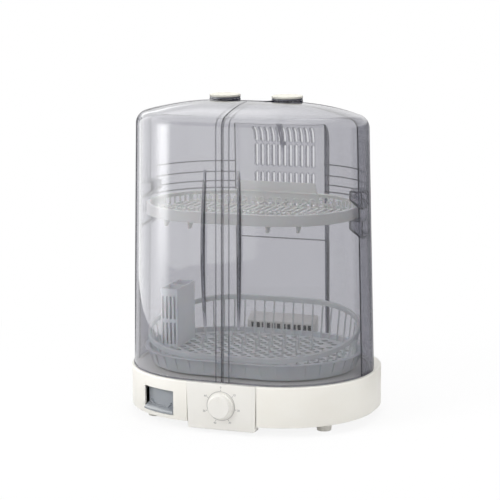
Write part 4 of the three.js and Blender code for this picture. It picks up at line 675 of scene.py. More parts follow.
def centre_box(inset):
    """The rear cover's raised middle panel: upright, with a round top that runs into the roof."""
    y, top, radius = CENTRE_Y - inset, CENTRE_TOP - inset, CENTRE_ROUND - inset
    upper_y = y - CENTRE_STEP
    profile = [(0, 0), (y, 0), (y, CENTRE_STEP_Z), (upper_y, CENTRE_STEP_Z + CENTRE_STEP)]
    profile += arc(upper_y - radius, top - radius, radius, 0, 90, 14) + [(0, top)]
    half = CENTRE_HALF - inset
    bm = raised(profile, (-half, half), "X")
    soften(bm, max(4 - inset, 1.6), 3, lambda m: abs(m.x) > half - 0.1 and m.y > 20 and m.z > 1)
    return solid(bm)


RIB_HEIGHTS = (332, 343, 358, 375.5)
BRACKET_TOPS = (314, 358)


def rack_bracket(side, top):
    """A hollow shelf with a turned-down lip on the inside of the cover's wall."""
    lean, foot = 110.5, top - 28

    def wall(z, more):
        return hood_radius(z) - COVER_INSET - more

    body = [(lean, top), (lean, top - 14), (wall(foot, WALL / 2), foot), (wall(top, WALL / 2), top)]
    hollow = [(lean + 2, top - 2), (lean + 2, top - 13), (wall(foot, 0), foot + 4),
              (wall(foot, 0) + 5, foot + 4), (wall(top, 0) + 5, top - 2)]
    half, thin = 9, math.degrees(2 / lean)
    middle = 0 if side > 0 else 180
    made = []
    for profile, reach in ((body, half), (hollow, half - thin)):
        made.append(solid(
            turned(profile, (side * HALF_SPINE, 0, 0), 10, angle=2 * reach, start=middle - reach)))
    return made


VENT_ROWS = ((302, 358), (368, 403), (407, 435))
VENT_PLACES = [2 + (i - 5) * 9.6 for i in range(11)]
VENT_HALF, VENT_LIP = 2.6, 1.0


def vent_slots(more, y):
    """The slots in the middle panel, or the lips round them."""
    bm = bmesh.new()
    r = VENT_HALF + more
    for low, high in VENT_ROWS:
        for x in VENT_PLACES:
            ends = arc(x, low - more + r, r, 180, 360, 8) + arc(x, high + more - r, r, 0, 180, 8)
            raised(ends, y, "Y", bm)
    return solid(bm)


def rear_cover():
    """The fixed shell: a layer inside the doors, the bridge between the pivots, and the middle panel."""
    cover = cut(join(hood_layer(COVER_INSET), centre_box(0)),
                join(hood_layer(COVER_INSET + WALL), centre_box(WALL)))
    strip_half = HALF_SPINE - CAP_R - 1.3
    strip = block((-strip_half, strip_half), (BRIDGE_FRONT_Y, BRIDGE_FRONT_Y + BRIDGE_DEPTH), (0, HIGH))
    cover = join(cover, between_layers(GAP, COVER_INSET + WALL, solid(strip)))
    tangent = math.tan(math.radians(COVER_FRONT_ANGLE))
    half = [(HALF_SPINE + PIN_R, BRIDGE_FRONT_Y), (HALF_SPINE + CAP_R, CAP_R * tangent),
            (HALF_SPINE + FAR, FAR * tangent), (HALF_SPINE + FAR, FAR)]
    plan = solid(raised(half + [(-x, y) for x, y in reversed(half)], (COVER_BOTTOM, HIGH)))
    cover = cross(cover, join(plan, *[about_pivot(side, COVER_BOTTOM, CAP_R, 64) for side in (-1, 1)]))
    brackets = [rack_bracket(side, top) for side in (-1, 1) for top in BRACKET_TOPS]
    back = CENTRE_Y - CENTRE_STEP - WALL / 2
    gusset = raised([(back, 385), (back, 402), (back - 23, 448), (back - 31, 448), (back - 8, 402)],
                    (-3.5, 3.5), "X")
    inside = join(hood_layer(COVER_INSET + 1), centre_box(1))
    lips = cross(vent_slots(VENT_LIP, (CENTRE_Y - 30, CENTRE_Y)), cut(centre_box(1), centre_box(WALL + 4)))
    cover = join(cover, lips, *[body for body, _ in brackets], cross(solid(gusset), inside))
    return cut(cover, *[hollow for _, hollow in brackets], vent_slots(0, (CENTRE_Y - 22, CENTRE_Y + 6)),
               pin_hole(-1), pin_hole(1))


def seam_ribs():
    """The two upright ribs behind a door's free edge: one at the edge, and a lower one beside it."""
    outer = WALL + STAND_OFF
    return join(between_layers(outer, 5, front_band((SEAM_HALF_GAP, SEAM_HALF_GAP + 1.2))),
                between_layers(outer, 4.2, front_band((9.6, 11.2))))


def cover_ribs():
    """The four ledges at each side of the rear cover, and the one across its middle panel."""
    bm = bmesh.new()
    for side in (-1, 1):
        for z in RIB_HEIGHTS:
            r = hood_radius(z) - COVER_INSET - WALL - STAND_OFF
            profile = [(r - 1.9, z + 0.1), (r, z), (r, z + 1.7), (r - 1.9, z + 1.5)]
            part = turned(profile, (0, 0, 0), 28, angle=66, start=13)
            bmesh.ops.scale(part, vec=(side, 1, 1), verts=part.verts)
            bmesh.ops.translate(part, vec=(side * HALF_SPINE, 0, 0), verts=part.verts)
            take(bm, part)
    back, low, high = CENTRE_Y - CENTRE_STEP - WALL - STAND_OFF, CENTRE_STEP_Z, CENTRE_STEP_Z + 1.6
    take(bm, raised([(back - 1.8, low + 0.2), (back, low), (back, high), (back - 1.8, high - 0.2)],
                    (-CENTRE_HALF + 4, CENTRE_HALF - 4), "X"))
    return solid(bm)


def lower_edge():
    """A dark bead along the outside of a door's lower edge: painted shade that stands in for the shadow gap
    over the base.
    """
    r = hood_radius(DOOR_BOTTOM)
    ring = cut(solid(raised(oval_outline(r + 0.9), (DOOR_BOTTOM, DOOR_BOTTOM + 2.2))),
               solid(raised(oval_outline(r + STAND_OFF), (DOOR_BOTTOM - 5, DOOR_BOTTOM + 8))))
    return cross(ring, solid(block((SEAM_HALF_GAP, FAR), (-FAR, 8), (0, HIGH))))


# The grips, beads and seam ribs carry darker, denser dyes than the shells: painted shade.
for make, part, material in ((right_door, "shell", SMOKE), (door_grip, "grip", SMOKE_GRIP_PAINTED_SHADE),
                             (lower_edge, "lower_edge", SMOKE_RIB_PAINTED_SHADE), (seam_ribs, "seam_ribs", SMOKE_RIB_PAINTED_SHADE)):
    piece = make()
    for thing, door in ((mirrored(piece), "left_door"), (piece, "right_door")):
        replaced = [door] if part == "shell" else []
        place(thing, f"{door}_{part}", door, [material], replaced)
place(cover_ribs(), "cover_ribs", "dryer", [SMOKE_EDGE])
place(rear_cover(), "rear_cover_shell", "dryer", [SMOKE], ["rear_cover"])

for side, word in ((-1, "left"), (1, "right")):
    centre = (side * HALF_SPINE, PIVOT_Y, 0)
    bore, (low, high) = PIN_R + GAP, RING_Z
    ring = [(bore, low), (CAP_R - 0.6, low), (CAP_R - 0.3, low + 0.4), (CAP_R - 0.3, high - 0.4),
            (CAP_R - 0.6, high), (bore, high)]
    place(solid(turned(ring, centre, 72)), f"{word}_pivot_ring", f"{word}_door",
          [SMOKE_RING], [f"{word}_pivot_collar"])
    low, (inside, high) = CAP_TOP - 3.3, DISC_Z
    disc = [(0, inside), (bore, inside), (bore, low), (CAP_R - 0.3, low), (CAP_R, low + 0.3)]
    disc += arc(CAP_R - 1.1, high - 1.1, 1.1, 0, 90, 5) + [(CAP_R - 5, high), (0, high - 0.35)]
    place(solid(turned(disc, centre, 72)), f"{word}_pivot_disc", "dryer", [CAP_PAINTED_SHADE],
          [f"{word}_pivot_cap"])

# Base
BASE_R, BASE_SIDE, BASE_CORNER_R, BASE_BOTTOM, BASE_WALL = 143.4, 22, 134, 15, 2.8
BASE_HALF = HALF_SPINE + BASE_R
CORNER_X = BASE_HALF - BASE_CORNER_R
DECK_UNDER = BASE_TOP - 3.2
PANEL_HALF_TOP, PANEL_HALF_BOTTOM, PANEL_BOTTOM, PANEL_Y, PANEL_DEPTH = 55.5, 53.5, 6.5, -145, 17
PANEL_WALL = 3
KNOB_Z = 43.7
TANK_ANGLE, TANK_HALF, TANK_Z, TANK_FRONT_R, TANK_REAR_Y = 24, 30, (22.5, 57.5), 135, -62
TANK_WALL = 2
BAY_CLEARANCE = 1.4
AIR_MOUTH = ((-54, 54), (131, 143.5))  # in the deck, under the outlet
GLAND_X, GLAND_Z = -78, 36
DRAIN_R = 95
DRAIN = (-HALF_SPINE - DRAIN_R * math.sin(math.radians(TANK_ANGLE)),
         -DRAIN_R * math.cos(math.radians(TANK_ANGLE)))
# Turns a shape made along -Y to where the tank looks out of the base
TO_BAY = Matrix.Translation((-HALF_SPINE, 0, 0)) @ Matrix.Rotation(math.radians(-TANK_ANGLE), 4, "Z")


def base_outline(inset):
    """The base's plan: the hood's round front, and fuller corners behind."""
    r, corner = BASE_R - inset, BASE_CORNER_R - inset
    half = arc(HALF_SPINE, 0, r, -90, 0, 32) + arc(CORNER_X, BASE_SIDE, corner, 0, 90, 32)
    return half + [(-x, y) for x, y in reversed(half)]


def base_housing():
    """A wall and a deck, a raised rim that the cover stands round, and openings for what the base holds."""
    outer = raised(base_outline(0), (BASE_BOTTOM, BASE_TOP))
    soften(outer, 2.4, 4, lambda m: m.z > BASE_TOP - 1)
    soften(outer, 1.2, 2, lambda m: m.z < BASE_BOTTOM + 0.5)
    body = cut(solid(outer), solid(raised(base_outline(BASE_WALL), (0, DECK_UNDER))))
    ring_r = hood_radius(COVER_BOTTOM) - COVER_INSET - WALL - 2 * GAP
    ring = cut(solid(raised(oval_outline(ring_r), (BASE_TOP - 1.6, BASE_TOP + 3.2))),
               solid(raised(oval_outline(ring_r - 2.4), (BASE_TOP - 5, BASE_TOP + 5))))
    ring = cross(ring, join(*[sector(side, COVER_FRONT_ANGLE, 80, (0, HIGH)) for side in (-1, 1)]))
    body = join(body, ring)
    bay = block((-TANK_HALF - BAY_CLEARANCE, TANK_HALF + BAY_CLEARANCE), (-FAR, -TANK_FRONT_R + 5),
                (TANK_Z[0] - BAY_CLEARANCE, TANK_Z[1] + BAY_CLEARANCE))
    bmesh.ops.transform(bay, matrix=TO_BAY, verts=bay.verts)
    soften(bay, 1.5, 3)
    notch = block((-PANEL_HALF_TOP - GAP, PANEL_HALF_TOP + GAP), (-FAR, PANEL_Y + PANEL_DEPTH + GAP),
                  (0, HIGH))
    mouth = block(*AIR_MOUTH, (DECK_UNDER - 5, BASE_TOP + 5))
    holes = [rod((*DRAIN, 60), (*DRAIN, 90), 8.9, 32),
             rod((GLAND_X, BASE_SIDE, GLAND_Z), (GLAND_X, FAR, GLAND_Z), 6.6, 32)]
    for x in (-PANEL_HALF_TOP, PANEL_HALF_TOP):  # the grooves that carry the panel's sides on over the deck
        holes.append(block((x - 0.5, x + 0.5), (-130, -108), (BASE_TOP - 0.6, BASE_TOP + 5)))
    return cut(body, *[solid(b) for b in (bay, notch, mouth, *holes)])


place(base_housing(), "base_shell", "dryer", [IVORY], ["base_housing"])


def control_panel():
    """A box open at the back, with a hole for the timer's shaft and a fine groove round the knob."""
    outline = [(-PANEL_HALF_BOTTOM, PANEL_BOTTOM), (PANEL_HALF_BOTTOM, PANEL_BOTTOM),
               (PANEL_HALF_TOP, BASE_TOP), (-PANEL_HALF_TOP, BASE_TOP)]
    back = PANEL_Y + PANEL_DEPTH
    bm = raised(outline, (PANEL_Y, back), "Y")
    soften(bm, 2.2, 4, lambda m: (
        m.z < PANEL_BOTTOM + 1 and abs(m.x) > PANEL_HALF_BOTTOM - 1 and m.y > PANEL_Y + 4))
    soften(bm, 1.2, 3, lambda m: m.y < PANEL_Y + 0.1)
    inner = [(x * (1 - PANEL_WALL / PANEL_HALF_TOP), z + (PANEL_WALL if z < KNOB_Z else -PANEL_WALL))
             for x, z in outline]
    hollow = raised(inner, (PANEL_Y + PANEL_WALL, back + 5), "Y")
    shaft = rod((0, PANEL_Y - 5, KNOB_Z), (0, back, KNOB_Z), 3.9, 24)
    groove = turned([(20.9, 0), (21.7, 0), (21.7, 0.5), (20.9, 0.5)], (0, PANEL_Y + 0.25, KNOB_Z), 72, "Y")
    return cut(solid(bm), solid(hollow), solid(shaft), solid(groove))


place(control_panel(), "panel_moulding", "dryer", [PANEL_WHITE], ["control_panel"])

INK = (-0.06, 0.1)  # out of the panel, and into it
PRINT_STEP, PRINT_COUNT = 50, 7  # degrees between the dial's numbers, and how many there are
PAINTED_SHADE_RING, TICK_R, NUMBER_R, NUMBER_SIZE = (21.9, 22.4), 24.2, 28.4, 4.4


def dial_print():
    """Numbers and ticks round the knob, and a ring of painted shade round it: a thin film of ink on the
    panel.
    """
    bm = bmesh.new()
    (inner, outer), (front, back) = PAINTED_SHADE_RING, INK
    film = (PANEL_Y + front, PANEL_Y + back)
    # The ring is painted shade: a grey line where the gap round the knob would cast its shadow.
    ring = [(inner, front), (outer, front), (outer, back), (inner, back)]
    take(bm, turned(ring, (0, PANEL_Y, KNOB_Z), 96, "Y"))
    for i in range(PRINT_COUNT):
        turn = math.radians(90 - PRINT_STEP * i)
        out = Vector((math.cos(turn), math.sin(turn)))
        middle, number = TICK_R * out, NUMBER_R * out
        tick = block((-0.35, 0.35), (-1, 1), film)
        bmesh.ops.rotate(tick, matrix=Matrix.Rotation(turn - math.pi / 2, 3, "Z"), verts=tick.verts)
        for vert in tick.verts:
            vert.co = (vert.co.x + middle.x, vert.co.z, vert.co.y + middle.y + KNOB_Z)
        take(bm, tick)
        curve = bpy.data.curves.new("number", "FONT")
        curve.body = str(10 * i)
        curve.size = NUMBER_SIZE
        curve.align_x, curve.align_y = "CENTER", "CENTER"
        curve.extrude = 0.08
        text = bpy.data.objects.new("number", curve)
        scene.collection.objects.link(text)
        mesh = bpy.data.meshes.new_from_object(text.evaluated_get(bpy.context.evaluated_depsgraph_get()))
        mesh.transform(Matrix.Translation((number.x, PANEL_Y + 0.02, KNOB_Z + number.y))
                       @ Matrix.Rotation(math.radians(90), 4, "X"))
        bm.from_mesh(mesh)
        bpy.data.objects.remove(text)
        bpy.data.meshes.remove(mesh)
    return solid(bm)


place(dial_print(), "dial_print", "dryer", [PRINT_AND_SHADE_INK])

KNOB_DEPTH = 11


def timer_knob():
    """A shallow cup-shaped dial with a thin rim and a pointer line."""
    rim = [(20.1, 0), (20.5, 0.4), (20.5, 2.6), (20.2, 3.1), (18.9, 3.5), (18.5, 4.0)]
    face = [(13.5, KNOB_DEPTH), (6, KNOB_DEPTH - 0.25), (0, KNOB_DEPTH - 0.3)]
    profile = [(0, 7.9), (3.3, 7.9), (3.3, 0), *rim, (17.6, 8.6), *arc(15.8, 9.2, 1.8, 10, 90, 5), *face]
    knob = solid(turned(profile, (0, PANEL_Y - GAP, KNOB_Z), 96, "Y"))
    front = PANEL_Y - GAP - KNOB_DEPTH
    line = block((-0.7, 0.7), (front - 5, front + 0.8), (KNOB_Z + 6.6, KNOB_Z + 30))
    return cut(knob, solid(line))


place(timer_knob(), "timer_dial", "timer_knob", [PANEL_WHITE], ["timer_knob"])


def drain_tank():
    """A smoke-clear drawer: a curved front with a recessed finger grip over a sloping lip."""
    (low, high), outer_r, inner_r, lip_r = TANK_Z, TANK_FRONT_R, TANK_FRONT_R - 2, BASE_R + 2.4
    front = [(inner_r, high), (outer_r - 0.8, high), (outer_r, high - 0.8), (outer_r, low + 9.6),
             (lip_r - 2.4, low + 4.8), (lip_r, low + 3), (lip_r, low + 0.8), (lip_r - 0.8, low),
             (inner_r, low)]
    reach = 15
    face = cross(solid(turned(front, (0, 0, 0), 24, angle=2 * reach, start=-90 - reach)),
                 solid(block((-TANK_HALF, TANK_HALF), (-FAR, TANK_REAR_Y), (0, HIGH))))

    def behind_face(half, rear_y, z):
        """A box whose front is as round as the inside of the face."""
        round_front = solid(rod((0, 0, low - 5), (0, 0, z[1] + 5), inner_r, 128))
        return cross(solid(block((-half, half), (-outer_r - 5, rear_y), z)), round_front)

    box = behind_face(TANK_HALF, TANK_REAR_Y, TANK_Z)
    hollow = behind_face(TANK_HALF - TANK_WALL, TANK_REAR_Y - TANK_WALL, (low + TANK_WALL, high + 5))
    grip = raised([(-20, high - 9), (-20, low + 14), (-14, low + 9), (14, low + 9), (20, low + 14),
                   (20, high - 9), (14, high - 6), (-14, high - 6)], (-outer_r - 6, -outer_r + 0.9), "Y")
    ridge = raised([(-23, low + 15), (-17, low + 8.4), (17, low + 8.4), (23, low + 15), (21, low + 15.6),
                    (16.4, low + 10.2), (-16.4, low + 10.2), (-21, low + 15.6)], (-137.4, -133.6), "Y")
    tank = cut(join(face, cut(box, hollow), solid(ridge)), solid(grip))
    tank.data.transform(TO_BAY)
    return tank


place(drain_tank(), "tank_drawer", "drain_tank", [TANK], ["drain_tank"])

FEET = ((-138, -70), (138, -70), (-96, 118), (96, 118))
for number, (x, y) in enumerate(FEET, 1):
    profile = [(0, 0.4), (8.6, 0.4), (9.2, 0)] + arc(9.8, 1.2, 1.2, -90, -10, 4) + [(12.1, 13.2)]
    profile += arc(11.3, 13.8, 1.2, 0, 90, 4) + [(4, 15), (4, 19), (0, 19)]
    place(solid(turned(profile, (x, y, 0), 40)), f"rubber_foot_{number}", "dryer", [RUBBER],
          [f"foot_{number}"])

# Drip tray, basket, holder, outlet, rack
TRAY_FLOOR_R, TRAY_RIM_R, TRAY_FLANGE_R, TRAY_BOTTOM, TRAY_TOP = 112, 118, 123, 80, 106
TRAY_RIBS = 40
TRAY_FEET = ((-120, -40), (120, -40), (-120, 55), (120, 55))


def along_oval(radius, share):
    """A place and its outward direction, so far along the oval of one radius."""
    straight, bend = 2 * HALF_SPINE, math.pi * radius
    s = share % 1 * 2 * (straight + bend)
    if s < straight:
        return Vector((-HALF_SPINE + s, -radius, 0)), Vector((0, -1, 0))
    s -= straight
    if s < bend:
        a = s / radius - math.pi / 2
        out = Vector((math.cos(a), math.sin(a), 0))
        return Vector((HALF_SPINE, 0, 0)) + radius * out, out
    s -= bend
    if s < straight:
        return Vector((HALF_SPINE - s, radius, 0)), Vector((0, 1, 0))
    a = (s - straight) / radius + math.pi / 2
    out = Vector((math.cos(a), math.sin(a), 0))
    return Vector((-HALF_SPINE, 0, 0)) + radius * out, out


def drip_tray():
    """A shallow pan with ribs round its wall, feet, and a spout over the drain."""
    under, inside = TRAY_TOP - 2, TRAY_BOTTOM + 2
    outer = [(0, TRAY_BOTTOM), (TRAY_FLOOR_R - 2, TRAY_BOTTOM), (TRAY_FLOOR_R, inside), (TRAY_RIM_R, under),
             (TRAY_FLANGE_R - 0.4, under), (TRAY_FLANGE_R, under + 0.5), (TRAY_FLANGE_R, TRAY_TOP - 0.5),
             (TRAY_FLANGE_R - 0.5, TRAY_TOP), (0, TRAY_TOP)]
    inner = [(0, inside), (TRAY_FLOOR_R - 4, inside), (TRAY_FLOOR_R - 2, inside + 1.6),
             (TRAY_RIM_R - 2.4, TRAY_TOP - 0.8), (TRAY_RIM_R - 1.6, TRAY_TOP + 0.1),
             (TRAY_RIM_R - 1.6, TRAY_TOP + 9), (0, TRAY_TOP + 9)]
    tray = cut(solid(swept_oval(outer)), solid(swept_oval(inner)))
    bm = bmesh.new()
    for i in range(TRAY_RIBS):
        at, out = along_oval(TRAY_FLOOR_R, (i + 0.5) / TRAY_RIBS)
        rib = raised([(-1, inside + 0.2), (0.4, inside + 0.2),
                      (TRAY_FLANGE_R - TRAY_FLOOR_R - 2, TRAY_TOP - 1),
                      (TRAY_RIM_R - TRAY_FLOOR_R - 1, TRAY_TOP - 1)], (-0.8, 0.8), "Y")
        turn = Matrix.Rotation(math.atan2(out.y, out.x), 4, "Z")
        bmesh.ops.transform(rib, matrix=Matrix.Translation(at) @ turn, verts=rib.verts)
        take(bm, rib)
    for x, y in TRAY_FEET:
        block((x - 4, x + 4), (y - 4, y + 4), (BASE_TOP + GAP, TRAY_BOTTOM + 1), bm)
    spout = rod((*DRAIN, 69), (*DRAIN, 81), 5.2, 32)
    tray = join(tray, solid(bm, 1), solid(spout))
    return cut(tray, solid(rod((*DRAIN, 60), (*DRAIN, 106), 3.4, 24)))


place(drip_tray(), "tray_moulding", "drip_tray", [TRAY, RACK], ["drip_tray"])

BASKET_FLOOR_R, BASKET_RIM_R, BASKET_RIM_Z, BASKET_SLOPE = 110, 117.5, 136.5, 0.2
BASKET_FLOOR = (95, 100)
BASKET_BARS, BAR_ROOT_Z = 54, 96.5
LATTICE, LATTICE_BAR = 22, 7.2  # between the diamonds' middles, and between their corners
BASKET_LEGS = ((-99, -54), (99, -54), (-99, 54), (99, 54))
TINE_TOP = 124


def out_of_oval(x, y):
    """The radius of the oval that a point lies on."""
    return math.hypot(max(abs(x) - HALF_SPINE, 0), y)


def lower_basket():
    """A lattice floor, a ring of bars leaning out to a rim that rises to the rear, legs and tines."""
    plate = raised(oval_outline(BASKET_FLOOR_R), BASKET_FLOOR)
    holes = bmesh.new()
    half = (LATTICE - LATTICE_BAR) / 2
    for i in range(-16, 17):
        for j in range(-11, 12):
            x, y = i * LATTICE / 2, j * LATTICE / 2
            if (i + j) % 2 or out_of_oval(x, y) > BASKET_FLOOR_R - half - 2:
                continue
            if any(math.hypot(x - a, y - b) < half + 2 for a, b in BASKET_LEGS):
                continue
            raised([(x - half, y), (x, y - half), (x + half, y), (x, y + half)], (90, 103), bm=holes)
    basket = cut(solid(plate), solid(holes))
    top, height, r = BASKET_RIM_Z + 1, 7.8, BASKET_RIM_R
    low = top - height
    rim = [(r - 4.5, low + 0.8), (r - 3.7, low), (r - 0.8, low), (r, low + 0.8), (r, top - 0.8),
           (r - 0.8, top), (r - 3.7, top), (r - 4.5, top - 0.8)]
    parts = swept_oval(rim, BASKET_SLOPE, closed=True)
    clean(parts)
    for i in range(BASKET_BARS):
        foot, out = along_oval(BASKET_FLOOR_R - 1.3, (i + 0.5) / BASKET_BARS)
        head = foot + out * (r - 2.25 - BASKET_FLOOR_R + 1.3)
        head.z = top - height / 2 + BASKET_SLOPE * head.y
        rod((foot.x, foot.y, BAR_ROOT_Z), head, 1.4, 8, parts)
    low, high, r = BASKET_FLOOR[0] - 0.6, BASKET_FLOOR[1] - 0.6, BASKET_FLOOR_R
    take(parts, swept_oval([(r - 2.6, low), (r, low), (r + 0.8, high), (r - 2, high)], closed=True))
    for x, y in BASKET_LEGS:
        rod((x, y, TRAY_BOTTOM + 2 + GAP), (x, y, BAR_ROOT_Z), 4, 16, parts)
    for y in (-LATTICE, LATTICE):
        for i in range(9):
            x = (i - 4) * LATTICE - (0 if y > 0 else LATTICE / 2)
            under_holder = x < -88 and -24 < y < 52
            if out_of_oval(x, y) < BASKET_FLOOR_R - 12 and not under_holder:
                rod((x, y, BAR_ROOT_Z), (x, y, TINE_TOP), 1.9, 8, parts, 1.3)
    return join_loose(basket, parts)


place(lower_basket(), "basket_moulding", "lower_basket", [BASKET], ["lower_basket"])

HOLDER_X, HOLDER_Y, HOLDER_Z, HOLDER_WALL = (-145.5, -116.5), (-28, 48), (98.3, 192), 1.8
HOLDER_SLOTS = ((104, 138), (144, 180))


def cutlery_holder():
    """A tall box of two cells, with slots in its front and rear and drain holes in its floor."""
    wall, centre = HOLDER_WALL, sum(HOLDER_X) / 2
    outer = block(HOLDER_X, HOLDER_Y, HOLDER_Z)
    soften(outer, 3, 4, lambda m: HOLDER_Z[0] + 5 < m.z < HOLDER_Z[1] - 5)
    soften(outer, 0.5, 2, lambda m: m.z > HOLDER_Z[1] - 1)
    middle = sum(HOLDER_Y) / 2
    cells = bmesh.new()
    for y in ((HOLDER_Y[0] + wall, middle - wall / 2), (middle + wall / 2, HOLDER_Y[1] - wall)):
        cell = block((HOLDER_X[0] + wall, HOLDER_X[1] - wall), y, (HOLDER_Z[0] + wall, HOLDER_Z[1] + 5))
        soften(cell, 1.4, 3, lambda m: HOLDER_Z[0] + 5 < m.z < HOLDER_Z[1] - 5)
        take(cells, cell)
    slots = bmesh.new()
    for z in HOLDER_SLOTS:
        for i in range(4):
            x = centre + (i - 1.5) * 6.5
            for y in HOLDER_Y:
                block((x - 1.5, x + 1.5), (y - 2 * wall, y + 2 * wall), z, slots)
    for i in (-1, 1):
        for j in (-1, 1):
            x, y = centre + i * 6.35, middle + j * 19
            block((x - 3, x + 3), (y - 3, y + 3), (90, 104), slots)
    return cut(solid(outer), solid(cells), solid(slots))


place(cutlery_holder(), "holder_moulding", "cutlery_holder", [HOLDER],
      ["cutlery_holder"])

OUTLET_HALF, OUTLET_Y, OUTLET_WALL = 58, (127.5, 145.8), 2
OUTLET_ROWS, OUTLET_PITCH = (98, 109), 17.6


def hot_air_outlet():
    """A hood over the deck's air opening, with two rows of slots in pairs."""

    def side(inset, low):
        return [(OUTLET_Y[0] + inset, low), (OUTLET_Y[1] - inset, low), (OUTLET_Y[1] - inset, 128 - inset),
                (OUTLET_Y[0] + inset, 117 - inset)]

    outer = raised(side(0, BASE_TOP + GAP), (-OUTLET_HALF, OUTLET_HALF), "X")
    soften(outer, 1.6, 3, lambda m: m.z > BASE_TOP + 2)
    hollow_half = OUTLET_HALF - OUTLET_WALL
    hollow = raised(side(OUTLET_WALL, BASE_TOP - 5), (-hollow_half, hollow_half), "X")
    slots = bmesh.new()
    for z in OUTLET_ROWS:
        for pair in range(6):
            for half in (-1, 1):
                x = (pair - 2.5) * OUTLET_PITCH + half * 4.2
                block((x - 3.1, x + 3.1), (OUTLET_Y[0] - 5, OUTLET_Y[0] + 5), (z - 4.6, z + 4.6), slots)
    return cut(solid(outer), solid(hollow), solid(slots))


place(hot_air_outlet(), "outlet_grille", "dryer", [IVORY], ["hot_air_outlet"])


def painted_shade_screen():
    """A pleated dark sheet just behind the outlet's slots: painted shade for the dark inside of the outlet.
    """
    folds = [(x, OUTLET_Y[0] + 3.2 + 2.4 * (i % 2)) for i, x in enumerate(range(-54, 55, 4))]
    return solid(raised(folds + [(x, y + 0.8) for x, y in reversed(folds)], (83, 112)))


place(painted_shade_screen(), "outlet_screen", "dryer", [BLACK])

RACK_R, RACK_BOTTOM, RACK_RIM = 117, 314.3, 17
RACK_EDGE = 9  # solid plate inside the rim
RACK_SLOTS, RACK_SLOT_STEP = 27, 11.5
RACK_WINDOWS, RACK_WINDOW_STEP, RACK_WINDOW_HALF = 9, 34.5, 15
RACK_BARS, HOOP_DROP, HOOP_FRONT_Y = 88, 7, 28  # the bars and the hoop that hang from the rim's rear
PLATE_LOOP_Y = 58.5


def oval_reach(radius, x):
    """How far an oval reaches along Y, so far from the middle."""
    return math.sqrt(max(radius**2 - max(x - HALF_SPINE, 0) ** 2, 0))


def loop(bm, x, y, half, z):
    """A low hoop that keeps plates apart."""
    bend = arc(x, z[1] - half, half, 0, 180, 6)
    line = [(x + half, z[0]), *bend, (x - half, z[0])]
    for (ax, az), (bx, bz) in zip(line, line[1:]):
        rod((ax, y, az), (bx, y, bz), 1.25, 6, bm)


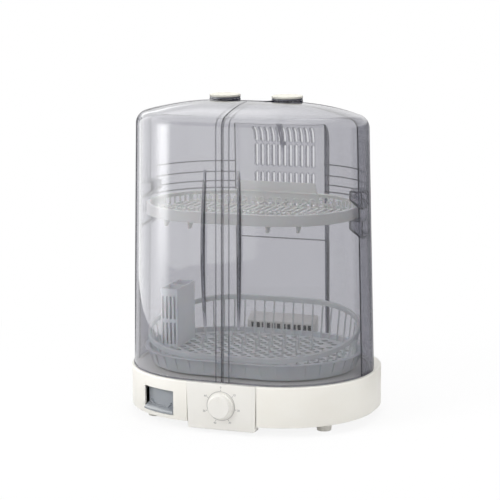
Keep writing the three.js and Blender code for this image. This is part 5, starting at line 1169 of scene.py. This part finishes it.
def upper_rack():
    """A slotted plate with a turned-over rim, a hoop on bars at the rear, a shield, loops and hooks."""
    top = RACK_BOTTOM + RACK_RIM
    plate = solid(raised(oval_outline(RACK_R - 1.5), (RACK_BOTTOM, RACK_BOTTOM + 3)))
    slots, windows = bmesh.new(), bmesh.new()
    for i in range(RACK_SLOTS):
        x = (i - RACK_SLOTS // 2) * RACK_SLOT_STEP
        reach = oval_reach(RACK_R - RACK_EDGE, abs(x) + 4)
        for y in ((-reach, -61), (-56, -2.6), (2.6, 56), (61, reach)):
            if y[1] - y[0] > 8:
                block((x - 3.9, x + 3.9), y, (RACK_BOTTOM - 5, RACK_BOTTOM + 8), slots)
    for i in range(RACK_WINDOWS):
        x, half = (i - RACK_WINDOWS // 2) * RACK_WINDOW_STEP, RACK_WINDOW_HALF
        reach = oval_reach(RACK_R - RACK_EDGE, abs(x) + half)
        if reach > 66:
            block((x - half, x + half), (63, reach), (RACK_BOTTOM - 6, RACK_BOTTOM + 9), windows)
    rack = cut(plate, solid(slots), solid(windows))
    r = RACK_R
    rim = [(r - 2.4, RACK_BOTTOM), (r - 0.5, RACK_BOTTOM), (r, RACK_BOTTOM + 0.5), (r, top - 0.6),
           (r - 0.6, top), (r - 5.4, top), (r - 6, top - 0.6), (r - 6, top - 2.2), (r - 5.6, top - 2.6),
           (r - 2.4, top - 2.6)]
    rack = join(rack, solid(swept_oval(rim, closed=True)))
    rack = cut(rack, cross(
        cut(solid(raised(oval_outline(r + 3), (RACK_BOTTOM - 5, top - 6.5))),
            solid(raised(oval_outline(r - 8), (RACK_BOTTOM - 9, top)))),
        solid(block((-FAR, FAR), (30, FAR), (0, HIGH)))))
    back = RACK_R - 2.4
    shield = raised([(-72, RACK_BOTTOM), (72, RACK_BOTTOM), (62, 347), (-62, 347)], (back - 2.4, back),
                    "Y")
    soften(shield, 0.7, 2, lambda m: m.z > RACK_BOTTOM + 1)
    rack = join(rack, solid(shield))
    parts = bmesh.new()
    low = RACK_BOTTOM - HOOP_DROP
    for i in range(RACK_BARS):
        at, _ = along_oval(r - 1.7, (i + 0.5) / RACK_BARS)
        if at.y > HOOP_FRONT_Y:
            rod((at.x, at.y, low + 0.8), (at.x, at.y, top - 5), 1.5, 8, parts)
    hoop = swept_oval([(r - 3.1, low), (r - 0.3, low), (r - 0.3, low + 2.6), (r - 3.1, low + 2.6)],
                      closed=True)
    bmesh.ops.bisect_plane(hoop, geom=hoop.verts[:] + hoop.edges[:] + hoop.faces[:],
                           plane_co=(0, HOOP_FRONT_Y, 0), plane_no=(0, -1, 0), clear_outer=True)
    bmesh.ops.holes_fill(hoop, edges=[e for e in hoop.edges if e.is_boundary])
    take(parts, hoop)
    for y in (-PLATE_LOOP_Y, PLATE_LOOP_Y):
        for i in range(-10, 10):
            x = (i + 0.5) * 14
            if out_of_oval(abs(x) + 5, y) < RACK_R - 10:
                loop(parts, x, y, 4.2, (RACK_BOTTOM + 2, RACK_BOTTOM + 16))
    for x in (-105, -62, 62, 105):  # hooks under the front rim
        y = -oval_reach(RACK_R - 3, abs(x))
        raised([(y, RACK_BOTTOM + 1.5), (y + 22, RACK_BOTTOM + 1.5), (y + 11, RACK_BOTTOM - 10.5),
                (y + 2.6, RACK_BOTTOM - 10.5)], (x - 1.3, x + 1.3), "X", parts)
    return join_loose(rack, parts)


place(upper_rack(), "rack_moulding", "upper_rack", [RACK], ["upper_rack"])

# CAD pieces that keep their own shape
FINISHES = (
    (IVORY, ["base_bottom_cover", "blower_housing"]),
    (BLACK, ["timer_unit", "thermal_cutout", "fan_wheel"]),
    (RUBBER, ["drain_funnel", "cord_gland"]),
    (GALVANISED, ["air_duct"]),
    (MICA, ["heater_frame"]),
    (HEATER, ["heater_element"]),
    (FOAM, ["intake_filter"]),
    (STEEL, ["timer_shaft", "motor_shaft", "fan_motor", "left_pivot_pin", "right_pivot_pin",
             *[f"cover_screw_{i}" for i in range(1, 5)]]),
)
for finish, names in FINISHES:
    for name in names:
        for material_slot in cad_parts[name].material_slots:
            material_slot.material = finish
